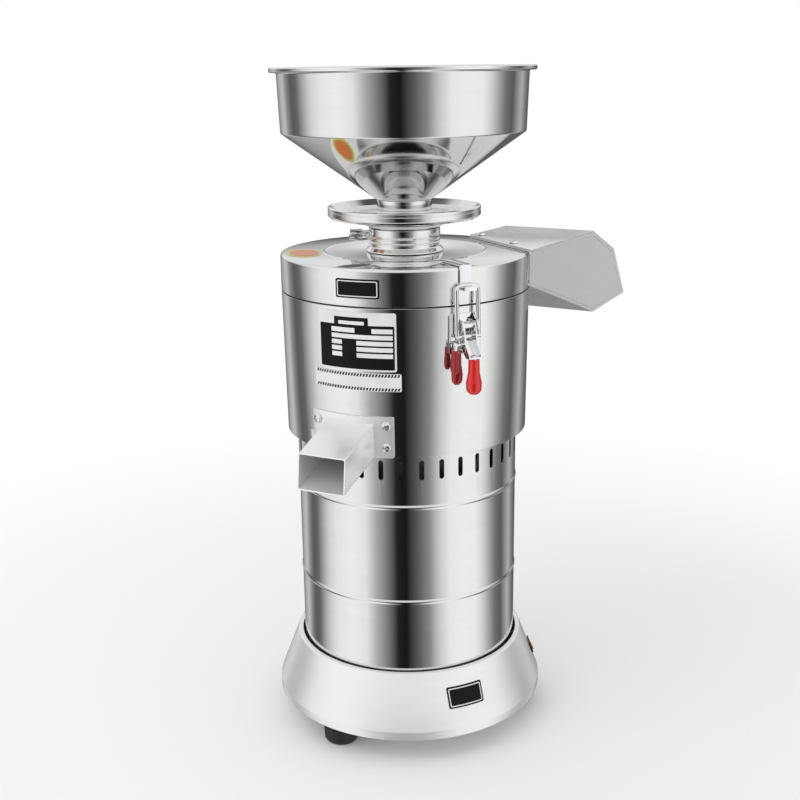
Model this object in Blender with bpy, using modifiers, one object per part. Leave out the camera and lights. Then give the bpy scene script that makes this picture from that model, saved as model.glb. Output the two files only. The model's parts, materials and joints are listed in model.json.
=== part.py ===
import math

import bmesh
import bpy
from mathutils import Matrix, Vector

# Soy milk grinder in metres, +Z up. The origin is on the main axis, on the underside of the bottom plate.
# Azimuths are degrees round +Z, from -Y, where the milk spout points, towards +X.

# Shared sizes
gap = 0.0003  # between pieces that touch or turn on each other
sheet = 0.0015  # sheet steel of the shells
overrun = 0.005  # how far a cut runs past the face it opens
large_segments = 32
vent_count = 36
medium_segments = 24
small_segments = 14
tiny_segments = 10

# Base
skirt_flare = 0.0254
skirt_ledge = 0.0084
skirt_height = 0.075
skirt_edge_height = 0.010
skirt_lip_depth = 0.0056
plate_sheet = 0.002
plate_rim_height = 0.008
intake_count = 8
first_intake_azimuth = 6
intake_length = 0.045
intake_width = 0.009
intake_circle_radius = 0.095
foot_count = 3
first_foot_azimuth = -12
foot_circle_radius = 0.140
foot_height = 0.030
foot_top_radius = 0.0225
foot_sole_radius = 0.0205
foot_edge = 0.003
stud_radius = 0.004

# Motor housing
housing_radius = 0.1367
housing_height = 0.3527
housing_foot_flange = 0.0133
housing_top_flange = 0.0132
bead_drops = (0.070, 0.190)
bead_width = 0.004
bead_proud = 0.001
vent_drop = 0.024
vent_length = 0.024
vent_width = 0.006
first_vent_azimuth = 3

# Drum
drum_overhang = 0.0117
drum_flare = 0.0021
drum_height = 0.1725
drum_foot_rim = 0.0043
boss_radius = 0.0335
boss_height = 0.0352
residue_ring_width = 0.0100
upstand_inset = 0.0023
upstand_height = 0.0125
seal_height = 0.012
seal_drop = 0.002

# Milk spout
spout_width = 0.060
spout_tall = 0.042
spout_slope = 17.5
spout_mouth_radius = 0.2175
spout_mouth_lean = 0.0025
spout_lip_drop = 0.0240
spout_flange_width = 0.1066
spout_flange_tall = 0.051
spout_flange_rise = 0.0005
spout_sill = 0.0012
spout_screw_azimuth = 17
spout_screw_inset = 0.013
screw_radius = 0.0025
screw_head_radius = 0.0055
screw_head_height = 0.003
screw_reach = 0.004

# Motor and rotor
shaft_radius = 0.010
shaft_foot_drop = 0.123
shaft_step_radius = 0.008
bearing_radius = 0.0235
bearing_width = 0.014
stator_radius = 0.080
stator_bore = 0.052
stator_height = 0.060
stator_middle_drop = 0.150
winding_height = 0.020
winding_inset = 0.004
bell_wall = 0.0037
bell_end_wall = 0.006
upper_bell_reach = 0.144
lower_bell_reach = 0.093
bell_flange_radius = 0.1165
shaft_hole_clearance = 0.002
bearing_collar = 0.0042
rotor_radius = 0.0512
fan_radius = 0.060
fan_height = 0.020
fan_hub_radius = 0.018
fan_sheet = 0.002
fan_blade_count = 6
capacitor_radius = 0.022
capacitor_height = 0.080
capacitor_circle_radius = 0.100
capacitor_azimuth = 130

# Grinding set
hub_clearance = 0.001
hub_height = 0.045
hub_radius = 0.030
hub_flange_radius = 0.045
hub_flange_height = 0.004
slinger_radius = 0.0375
slinger_wall = 0.002
slinger_drop = 0.019
slinger_shoulder = 0.007
basket_sheet = 0.0012
basket_floor_radius = 0.062
basket_shoulder_radius = 0.135
basket_shoulder_height = 0.0812
basket_lip_radius = 0.143
basket_lip_height = 0.0115
stone_radius = 0.050
stone_height = 0.020
stone_eye_radius = 0.024
stone_face_width = 0.012
stone_mouth_height = 0.006
grinding_gap = 0.001
nut_radius = 0.014
nut_height = 0.010
thread_end = 0.002
holder_wall = 0.0017
holder_height = 0.007
holder_grip = 0.009
holder_ledge = 0.0026
feed_radius = 0.028
feed_wall = 0.0025

# Cover
gasket_height = 0.0012
gasket_width = 0.0018
cover_height = 0.0423
step_ring_radius = 0.0955
step_ring_width = 0.004
step_ring_proud = 0.0008
neck_radius = 0.043
neck_foot_radius = 0.047
neck_height = 0.0274
neck_flare_height = 0.005
neck_spigot_wall = 0.0014
neck_spigot_depth = 0.006
neck_groove_heights = (0.0103, 0.0158)
neck_groove_depth = 0.0008
neck_groove_width = 0.002

# Handwheel and lock bolt
wheel_clearance = 0.0010
wheel_radius = 0.092
wheel_rim_height = 0.0138
wheel_under_radius = 0.0895
wheel_flare_radius = 0.0506
wheel_flare_height = 0.0045
wheel_under_height = 0.0114
wheel_floor_height = 0.0157
wheel_rim_width = 0.0035
wheel_bowl_radius = 0.080
wheel_bowl_rise = 0.0020
wheel_groove = 0.0008
wheel_sleeve_radius = 0.036
wheel_sleeve_depth = 0.036
lock_azimuth = -64
lock_height = 0.0201
lock_radius = 0.004
lock_slug_length = 0.0028
lock_stem_reach = 0.0080
lock_head_radius = 0.0055
lock_head_length = 0.015

# Hopper
cup_radius = 0.0332
cup_height = 0.0164
cup_floor = 0.0015
hopper_spigot_depth = 0.0149
hopper_cone_height = 0.0786
hopper_low_radius = 0.1450
hopper_high_radius = 0.1476
hopper_wall_height = 0.0694
hopper_rim_radius = 0.1562
hopper_rim_height = 0.0050
hopper_rim_crown = 0.0012

# Residue chute, as a hood beside the cover: along its heading, across it, and up from the origin
chute_azimuth = 175
chute_near_face = 0.148
chute_width = 0.128
chute_start = 0.043
chute_bend_reach = 0.236
chute_knee_reach = 0.312
chute_knee_drop = 0.0296
chute_tip_reach = 0.356
chute_tip_drop = 0.0976
chute_heel_reach = 0.242
chute_heel_drop = 0.1056
chute_floor_drop = 0.0396
chute_corner_reach = 0.131
chute_seat_width = 0.006
chute_window_sill = 0.004
chute_screw_radius = 0.002
chute_screw_places = ((0.137, 160), (0.135, 124))

# Latches
latch_azimuths = (52, 232)
latch_pivot_out = 0.0075
latch_pivot_drop = 0.0210
latch_throw = 0.012
latch_link_length = 0.057
latch_bar_out = 0.0058
wire_radius = 0.0025
link_width = 0.032
link_corner = 0.006
keeper_width = 0.015
keeper_sheet = 0.0020
keeper_reach = 0.0425
keeper_trough = 0.0045
keeper_lip = 0.0025
base_half_width = 0.020
base_bottom_drop = 0.0325
base_top_rise = 0.0135
ear_sheet = 0.0018
ear_clearance = 0.0005
pin_radius = 0.003
handle_half_width = 0.0082
handle_reach = 0.014
handle_shoulder_drop = 0.0345
handle_tang_radius = 0.0035
grip_top_drop = 0.0350
grip_bottom_drop = 0.0755
grip_neck_radius = 0.0065
grip_bulb_radius = 0.009
grip_bulb_drop = 0.0645
grip_end = 0.004
lock_pin_radius = 0.002
lock_pin_out = 0.0025
lock_pin_drop = 0.0205
lock_lever_sheet = 0.003
lock_lever_half_width = 0.0035
lock_lever_offset = 0.0168
lock_grip_half_width = 0.0045
lock_grip_top_drop = 0.0255
lock_grip_bottom_drop = 0.0525
lock_grip_wall = 0.0028

# Plates, switch and cable gland
plate_label_sheet = 0.0008
badge_azimuth = 5.15
badge_width = 0.052
badge_height = 0.0214
badge_bottom_rise = 0.0093
label_azimuth = 3.75
label_width = 0.096
label_height = 0.067
label_bottom_drop = 0.0715
switch_azimuth = 118
switch_height = 0.036
switch_half_length = 0.0105
switch_half_tall = 0.0075
switch_proud = 0.0020
switch_body_depth = 0.014
switch_body_inset = 0.0010
switch_well_half_length = 0.0084
switch_well_half_tall = 0.0057
switch_well_depth = 0.0100
rocker_half_length = 0.0073
rocker_half_tall = 0.0052
rocker_pivot_depth = 0.0040
rocker_end_height = 0.0042
rocker_middle_height = 0.0032
rocker_heel = 0.0030
rocker_tilt = 10
gland_azimuth = 180
gland_height = 0.024
gland_radius = 0.0090
gland_neck_radius = 0.0065
gland_bore_radius = 0.0045
gland_flange = 0.0020

finishes = {
    "polished_steel": ((0.78, 0.78, 0.78), 0.07, 1.0),
    "satin_steel": ((0.60, 0.60, 0.59), 0.32, 1.0),
    "chrome": ((0.82, 0.83, 0.84), 0.10, 1.0),
    "cast_aluminium": ((0.56, 0.57, 0.58), 0.45, 1.0),
    "iron_core": ((0.20, 0.19, 0.18), 0.50, 1.0),
    "copper_winding": ((0.62, 0.28, 0.12), 0.45, 0.8),
    "red_plastic": ((0.62, 0.02, 0.02), 0.22, 0.0),
    "dark_red_plastic": ((0.30, 0.02, 0.02), 0.30, 0.0),
    "black_rubber": ((0.018, 0.018, 0.018), 0.75, 0.0),
    "black_plastic": ((0.015, 0.015, 0.016), 0.35, 0.0),
    "black_plate": ((0.03, 0.03, 0.03), 0.40, 0.3),
    "brass": ((0.72, 0.52, 0.22), 0.30, 1.0),
    "emery": ((0.36, 0.35, 0.33), 0.90, 0.0),
}

for old in list(bpy.data.objects):
    bpy.data.objects.remove(old, do_unlink=True)
parts = bpy.data.collections.new("soy_milk_grinder")
cutters = bpy.data.collections.new("cutters")
bpy.context.scene.collection.children.link(parts)
bpy.context.scene.collection.children.link(cutters)


# Tools that make, place and join the shapes


def link(obj, look, parent):
    if look:
        parts.objects.link(obj)
        colour, roughness, metallic = finishes[look]
        surface = bpy.data.materials.new(obj.name + "_" + look)
        surface.use_nodes = True
        shader = surface.node_tree.nodes["Principled BSDF"]
        shader.inputs["Base Color"].default_value = (*colour, 1)
        shader.inputs["Roughness"].default_value = roughness
        shader.inputs["Metallic"].default_value = metallic
        obj.data.materials.append(surface)
    else:
        cutters.objects.link(obj)
        obj.hide_render = True
        obj.display_type = "WIRE"
    obj.parent = parent
    return obj


def frame(name, azimuth, radius=0.0, height=0.0, lean=0.0, parent=None):
    """An empty whose -Y points outward at this azimuth, leaning up by the given angle."""
    empty = bpy.data.objects.new(name, None)
    parts.objects.link(empty)
    turn = Matrix.Rotation(math.radians(azimuth), 4, "Z")
    place = turn @ Matrix.Translation((0, -radius, height)) @ Matrix.Rotation(-lean, 4, "X")
    empty.parent = parent
    empty.matrix_basis = place
    return empty


def turned(name, profile, segments, look=None, parent=None, phase=0.0, axis=None):
    """A profile of (radius, height) points, down its outer side, turned about Z or about an axis matrix."""
    points = [(radius, 0, height) for radius, height in profile]
    pairs = [(i, (i + 1) % len(points)) for i in range(len(points))]
    edges = [(i, j) for i, j in pairs if points[i][0] > 0 or points[j][0] > 0]
    mesh = bpy.data.meshes.new(name)
    mesh.from_pydata(points, edges, [])
    obj = link(bpy.data.objects.new(name, mesh), look, parent)
    obj.matrix_basis = (axis or Matrix.Identity(4)) @ Matrix.Rotation(math.radians(phase), 4, "Z")
    turn = obj.modifiers.new("turn", "SCREW")
    turn.steps = segments
    turn.render_steps = segments
    turn.use_merge_vertices = True
    turn.merge_threshold = gap / segments
    turn.use_smooth_shade = True
    return obj


def solid(name, shape, look, parent):
    mesh = bpy.data.meshes.new(name)
    shape.to_mesh(mesh)
    shape.free()
    return link(bpy.data.objects.new(name, mesh), look, parent)


def box(name, low, high, look=None, parent=None):
    low, high = Vector(low), Vector(high)
    shape = bmesh.new()
    place = Matrix.Translation((low + high) / 2) @ Matrix.Diagonal((*(high - low), 1))
    bmesh.ops.create_cube(shape, size=1, matrix=place)
    return solid(name, shape, look, parent)


def cylinder(name, start, end, radius, segments, look=None, parent=None, end_radius=None):
    start, end = Vector(start), Vector(end)
    along = end - start
    shape = bmesh.new()
    bmesh.ops.create_cone(
        shape,
        cap_ends=True,
        segments=segments,
        radius1=radius,
        radius2=radius if end_radius is None else end_radius,
        depth=along.length,
        matrix=Matrix.Translation((start + end) / 2) @ along.to_track_quat("Z", "Y").to_matrix().to_4x4(),
    )
    obj = solid(name, shape, look, parent)
    obj.data.shade_smooth()
    obj.data.set_sharp_from_angle(angle=math.radians(35))
    return obj


def as_mesh(curve, name, look, parent):
    """The curve's solid as a mesh object, with its caps welded on."""
    bpy.context.view_layer.update()
    made = bpy.data.meshes.new_from_object(curve.evaluated_get(bpy.context.evaluated_depsgraph_get()))
    shape = bmesh.new()
    shape.from_mesh(made)
    bmesh.ops.remove_doubles(shape, verts=shape.verts, dist=gap / large_segments)
    bmesh.ops.recalc_face_normals(shape, faces=shape.faces)
    shape.to_mesh(made)
    shape.free()
    made.transform(curve.matrix_world)
    made.name = name
    bpy.data.objects.remove(curve)
    return link(bpy.data.objects.new(name, made), look, parent)


def prism(name, outline, low, high, across, look=None, parent=None):
    """A flat outline pushed along one axis, from low to high: X (outline in out, up) or Z (outline in X, out)."""
    curve = bpy.data.curves.new(name + "_outline", "CURVE")
    curve.dimensions = "2D"
    curve.fill_mode = "BOTH"
    curve.extrude = (high - low) / 2
    spline = curve.splines.new("POLY")
    spline.points.add(len(outline) - 1)
    for point, (first, second) in zip(spline.points, outline):
        point.co = (first, second, 0, 1)
    spline.use_cyclic_u = True
    guide = bpy.data.objects.new(name + "_outline", curve)
    parts.objects.link(guide)
    middle = (low + high) / 2
    if across == "X":
        columns = ((0, -1, 0), (0, 0, 1), (-1, 0, 0))
        place = (middle, 0, 0)
    else:
        columns = ((1, 0, 0), (0, -1, 0), (0, 0, -1))
        place = (0, 0, middle)
    turn = Matrix(columns).transposed().to_4x4()
    guide.matrix_world = Matrix.Translation(place) @ turn
    return as_mesh(guide, name, look, parent)


def rod(name, path, radius, look=None, parent=None):
    curve = bpy.data.curves.new(name + "_path", "CURVE")
    curve.dimensions = "3D"
    curve.bevel_depth = radius
    curve.bevel_resolution = 2
    curve.use_fill_caps = True
    spline = curve.splines.new("POLY")
    spline.points.add(len(path) - 1)
    for point, place in zip(spline.points, path):
        point.co = (*place, 1)
    guide = bpy.data.objects.new(name + "_path", curve)
    parts.objects.link(guide)
    return as_mesh(guide, name, look, parent)


def combine(target, other, operation="DIFFERENCE"):
    step = target.modifiers.new(other.name, "BOOLEAN")
    step.operation = operation
    step.object = other
    step.solver = "EXACT"
    return target


def running(radius, segments):
    """The corner radius of a faceted bore that leaves the gap round a piece of this radius as it turns."""
    return (radius + gap) / math.cos(math.pi / segments)


def arc(centre, radius, start, end, count):
    steps = [math.radians(start + (end - start) * i / count) for i in range(count + 1)]
    return [(centre[0] + radius * math.cos(a), centre[1] + radius * math.sin(a)) for a in steps]


def slot_outline(length, width, count):
    straight = (length - width) / 2
    return arc((0, straight), width / 2, 0, 180, count) + arc((0, -straight), width / 2, 180, 360, count)


# Radii of the shells, each from the piece that it fits

skirt_top_radius = housing_radius + skirt_ledge
skirt_foot_radius = skirt_top_radius + skirt_flare
drum_foot_radius = housing_radius + drum_overhang
drum_top_radius = drum_foot_radius + drum_flare
upstand_radius = drum_top_radius - upstand_inset
latch_pivot_radius = drum_top_radius + latch_pivot_out
latch_bar_radius = drum_top_radius + latch_bar_out
handle_reach_radius = latch_pivot_radius + handle_reach
keeper_start_radius = drum_top_radius - keeper_reach

# Levels up the main axis, each from the piece below it

plate_rim_radius = skirt_foot_radius - sheet - gap
plate_top = plate_sheet
housing_bottom = plate_top + gap
housing_top = housing_bottom + housing_height
drum_floor_bottom = housing_top + gap
drum_floor_top = drum_floor_bottom + sheet
drum_bottom = drum_floor_bottom - drum_foot_rim
drum_top = drum_bottom + drum_height
boss_top = drum_floor_top + boss_height
hub_bottom = boss_top + hub_clearance
hub_top = hub_bottom + hub_height
basket_bottom = hub_top + gap
stone_bottom = basket_bottom + basket_sheet + gap
stone_top = stone_bottom + stone_height
upper_stone_bottom = stone_top + grinding_gap
upper_stone_top = upper_stone_bottom + stone_height
holder_bottom = upper_stone_top + gap
holder_top = holder_bottom + holder_height
feed_bottom = holder_bottom + holder_ledge + gap
gasket_bottom = drum_top + gap
cover_bottom = gasket_bottom + gasket_height + gap
cover_top = cover_bottom + cover_height
neck_bottom = cover_top + gap
neck_top = neck_bottom + neck_height
wheel_bottom = neck_top + wheel_clearance
cup_bottom = wheel_bottom + wheel_floor_height + gap
cup_top = cup_bottom + cup_height
hopper_bottom = cup_top + gap
hopper_shoulder = hopper_bottom + hopper_cone_height
hopper_flange = hopper_shoulder + hopper_wall_height
hopper_top = hopper_flange + hopper_rim_height

# Heights of what hangs on the shells

bead_heights = [housing_top - drop for drop in bead_drops]
vent_height = housing_top - vent_drop
stator_middle_height = housing_top - stator_middle_drop
shaft_foot_height = stator_middle_height - shaft_foot_drop
spout_lip_height = drum_bottom - spout_lip_drop
chute_knee_height = cover_top - chute_knee_drop
chute_tip_height = cover_top - chute_tip_drop
chute_heel_height = cover_top - chute_heel_drop
chute_floor_height = cover_top - chute_floor_drop
latch_pivot_height = drum_top - latch_pivot_drop
base_bottom_height = latch_pivot_height - base_bottom_drop
base_top_height = latch_pivot_height + base_top_rise
handle_shoulder_height = latch_pivot_height - handle_shoulder_drop
grip_top_height = latch_pivot_height - grip_top_drop
grip_bottom_height = latch_pivot_height - grip_bottom_drop
grip_bulb_height = latch_pivot_height - grip_bulb_drop
lock_grip_top_height = latch_pivot_height - lock_grip_top_drop
lock_grip_bottom_height = latch_pivot_height - lock_grip_bottom_drop
badge_bottom_height = cover_bottom + badge_bottom_rise
label_bottom_height = drum_top - label_bottom_drop

skirt_slope = (skirt_foot_radius - skirt_top_radius) / (skirt_height - skirt_edge_height)
skirt_lean = math.atan(skirt_slope)
ground = -gap - foot_height


def skirt_radius(height):
    return skirt_foot_radius - skirt_slope * (height - skirt_edge_height)


def drum_radius(height):
    share = (height - drum_bottom) / drum_height
    return drum_foot_radius + (drum_top_radius - drum_foot_radius) * share


# Base: plate, skirt and feet


def make_base():
    plate = turned(
        "bottom_plate",
        [
            (0, plate_top),
            (plate_rim_radius - sheet, plate_top),
            (plate_rim_radius - sheet, plate_rim_height),
            (plate_rim_radius, plate_rim_height),
            (plate_rim_radius, 0),
            (0, 0),
        ],
        large_segments,
        "satin_steel",
    )
    for number in range(intake_count):
        place = frame(f"intake_{number}", first_intake_azimuth + number * 360 / intake_count)
        outline = slot_outline(intake_length, intake_width, 2)
        outline = [(x, intake_circle_radius + out) for x, out in outline]
        top = plate_top + overrun
        combine(plate, prism(f"intake_cut_{number}", outline, -overrun, top, "Z", None, place))

    lip_radius = skirt_top_radius - skirt_lip_depth
    inner_top = skirt_height - sheet
    turned(
        "base_skirt",
        [
            (lip_radius, skirt_height),
            (skirt_top_radius, skirt_height),
            (skirt_foot_radius, skirt_edge_height),
            (skirt_foot_radius, 0),
            (skirt_foot_radius - sheet, 0),
            (skirt_foot_radius - sheet, skirt_edge_height),
            (skirt_top_radius - sheet + skirt_slope * sheet, inner_top),
            (lip_radius, inner_top),
        ],
        large_segments,
        "satin_steel",
    )

    for number in range(foot_count):
        place = frame(f"foot_place_{number + 1}", first_foot_azimuth + number * 360 / foot_count)
        axis = Matrix.Translation((0, -foot_circle_radius, 0))
        turned(
            f"foot_{number + 1}",
            [
                (0, plate_top),
                (stud_radius, plate_top),
                (stud_radius, -gap),
                (foot_top_radius, -gap),
                (foot_sole_radius, ground + foot_edge),
                (foot_sole_radius - foot_edge, ground),
                (0, ground),
            ],
            small_segments,
            "black_rubber",
            place,
            axis=axis,
        )
        hole = turned(
            f"stud_hole_{number + 1}",
            [
                (0, plate_top + overrun),
                (running(stud_radius, small_segments), plate_top + overrun),
                (running(stud_radius, small_segments), -overrun),
                (0, -overrun),
            ],
            small_segments,
            None,
            place,
            axis=axis,
        )
        combine(plate, hole)


# Motor housing with its beads and vent slots


def make_housing():
    inner = housing_radius - sheet
    flange = housing_radius + housing_foot_flange
    beads = []
    for height in bead_heights:
        beads += [
            (housing_radius, height + bead_width / 2),
            (housing_radius + bead_proud, height),
            (housing_radius, height - bead_width / 2),
        ]
    housing = turned(
        "motor_housing",
        [
            (inner - housing_top_flange, housing_top),
            (housing_radius, housing_top),
            *beads,
            (housing_radius, housing_bottom + sheet),
            (flange, housing_bottom + sheet),
            (flange, housing_bottom),
            (inner, housing_bottom),
            (inner, housing_top - sheet),
            (inner - housing_top_flange, housing_top - sheet),
        ],
        vent_count,
        "polished_steel",
        phase=first_vent_azimuth - 360 / vent_count / 2,
    )
    outline = [(x, vent_height + z) for x, z in slot_outline(vent_length, vent_width, 2)]
    slots = bmesh.new()
    for number in range(vent_count):
        azimuth = math.radians(first_vent_azimuth + number * 360 / vent_count)
        outer, inside = housing_radius + overrun, inner - overrun
        rings = []
        for radius in (outer, inside):
            out = Vector((math.sin(azimuth), -math.cos(azimuth), 0)) * radius
            side = Vector((math.cos(azimuth), math.sin(azimuth), 0))
            rings.append([slots.verts.new(out + side * x + Vector((0, 0, z))) for x, z in outline])
        slots.faces.new(rings[0])
        slots.faces.new(list(reversed(rings[1])))
        for i in range(len(outline)):
            j = (i + 1) % len(outline)
            slots.faces.new((rings[0][j], rings[0][i], rings[1][i], rings[1][j]))
    bmesh.ops.recalc_face_normals(slots, faces=slots.faces)
    combine(housing, solid("vent_cut", slots, None, None))


# Drum with its floor, shaft boss and residue ring, and the milk spout on its side


def drum_patch(name, width, low, high, thick, azimuth, look):
    """A thin plate bent round the drum, from low to high, at this azimuth."""
    top_radius, foot_radius = drum_radius(high) + gap, drum_radius(low) + gap
    if low > drum_top:
        top_radius = foot_radius = drum_top_radius + gap
    plate = turned(
        name,
        [
            (top_radius, high),
            (top_radius + thick, high),
            (foot_radius + thick, low),
            (foot_radius, low),
        ],
        large_segments,
        look,
    )
    place = frame(name + "_place", azimuth)
    reach = foot_radius + thick + overrun
    keep = box(
        name + "_keep",
        (-width / 2, -reach, low - overrun),
        (width / 2, -reach / 2, high + overrun),
        None,
        place,
    )
    combine(plate, keep, "INTERSECT")
    return plate


def make_drum():
    inner_top = drum_top - sheet
    ring_radius = drum_top_radius - sheet - residue_ring_width
    boss_inner = boss_radius - sheet
    drum = turned(
        "drum",
        [
            (upstand_radius - sheet, drum_top + upstand_height),
            (upstand_radius, drum_top + upstand_height),
            (upstand_radius, drum_top),
            (drum_top_radius, drum_top),
            (drum_foot_radius, drum_bottom),
            (drum_foot_radius - sheet, drum_bottom),
            (drum_foot_radius - sheet, drum_floor_bottom),
            (boss_inner, drum_floor_bottom),
            (boss_inner, boss_top),
            (boss_radius, boss_top),
            (boss_radius, drum_floor_top),
            (drum_radius(drum_floor_top) - sheet, drum_floor_top),
            (drum_top_radius - sheet, inner_top),
            (ring_radius, inner_top),
            (ring_radius, drum_top),
            (upstand_radius - sheet, drum_top),
        ],
        large_segments,
        "polished_steel",
    )
    seal_top = boss_top - seal_drop
    turned(
        "shaft_seal",
        [
            (running(shaft_radius, medium_segments), seal_top),
            (boss_inner - gap, seal_top),
            (boss_inner - gap, seal_top - seal_height),
            (running(shaft_radius, medium_segments), seal_top - seal_height),
        ],
        medium_segments,
        "black_rubber",
    )

    slope = math.tan(math.radians(spout_slope))
    root = drum_foot_radius - overrun
    fall = (spout_mouth_radius - root) * slope
    top = spout_lip_height + spout_tall
    half = spout_width / 2
    outside = [
        (root, spout_lip_height + fall),
        (spout_mouth_radius + spout_mouth_lean, spout_lip_height),
        (spout_mouth_radius - spout_mouth_lean, top),
        (root, top + fall),
    ]
    fall_out = overrun * slope
    inside = [
        (root - overrun, spout_lip_height + fall + fall_out + sheet),
        (spout_mouth_radius + overrun, spout_lip_height - fall_out + sheet),
        (spout_mouth_radius + overrun, top - fall_out - sheet),
        (root - overrun, top + fall + fall_out - sheet),
    ]
    flange_low = drum_bottom - spout_flange_rise
    flange_high = flange_low + spout_flange_tall
    spout = drum_patch("spout", spout_flange_width, flange_low, flange_high, sheet, 0, "satin_steel")
    combine(spout, prism("spout_tube", outside, -half, half, "X"), "UNION")
    combine(spout, prism("spout_bore", inside, sheet - half, half - sheet, "X"))
    inner_drum = turned(
        "spout_drum_cut",
        [
            (0, flange_high + overrun),
            (drum_radius(flange_high + overrun) + gap, flange_high + overrun),
            (drum_radius(flange_low - overrun) + gap, flange_low - overrun),
            (0, flange_low - overrun),
        ],
        large_segments,
    )
    combine(spout, inner_drum)
    window_low = drum_floor_top + spout_sill
    window_high = top + (spout_mouth_radius - drum_foot_radius) * slope - sheet
    window = box(
        "spout_window",
        (sheet - half, -drum_top_radius - overrun, window_low),
        (half - sheet, -drum_foot_radius * math.cos(math.radians(spout_screw_azimuth)), window_high),
    )
    combine(drum, window)

    number = 0
    for side in (-1, 1):
        place = frame(f"spout_screw_side_{number}", side * spout_screw_azimuth)
        for height in (flange_high - spout_screw_inset, flange_low + spout_screw_inset):
            number += 1
            face = drum_radius(height) + 2 * gap + sheet
            start = drum_radius(height) - sheet - screw_reach
            screw = cylinder(
                f"spout_screw_{number}",
                (0, -face, height),
                (0, -face - screw_head_height, height),
                screw_head_radius,
                small_segments,
                "chrome",
                place,
                screw_head_radius - screw_head_height / 2,
            )
            overlap = (0, -face - screw_head_height / 2, height)
            name = f"screw_shank_{number}"
            root = (0, -start, height)
            shank = cylinder(name, root, overlap, screw_radius, tiny_segments, None, place)
            combine(screw, shank, "UNION")
            hole = cylinder(
                f"screw_hole_{number}",
                (0, -start + overrun, height),
                (0, -face - overrun, height),
                running(screw_radius, tiny_segments),
                tiny_segments,
                None,
                place,
            )
            combine(spout, hole)
            combine(drum, hole)


# Motor: two end bells that clamp the stator, the bearings, and the rotor on its shaft

bell_flange_top = drum_floor_bottom - gap
bell_flange_bottom = bell_flange_top - bell_end_wall
upper_bell_bottom = stator_middle_height + gap / 2
bell_inner = stator_radius + gap
bell_radius = bell_inner + bell_wall
bell_pocket = bearing_radius + gap
bell_collar = bell_pocket + bearing_collar
bell_bore = shaft_radius + shaft_hole_clearance
upper_bell_floor = upper_bell_bottom + upper_bell_reach - bell_end_wall
lower_bell_top = stator_middle_height - gap / 2
lower_bell_bottom = lower_bell_top - lower_bell_reach
upper_bearing_top = upper_bell_floor - gap
lower_pocket_floor = lower_bell_bottom + bell_end_wall + shaft_hole_clearance
lower_bearing_bottom = lower_pocket_floor + gap
shaft_shoulder = hub_top - gap


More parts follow.
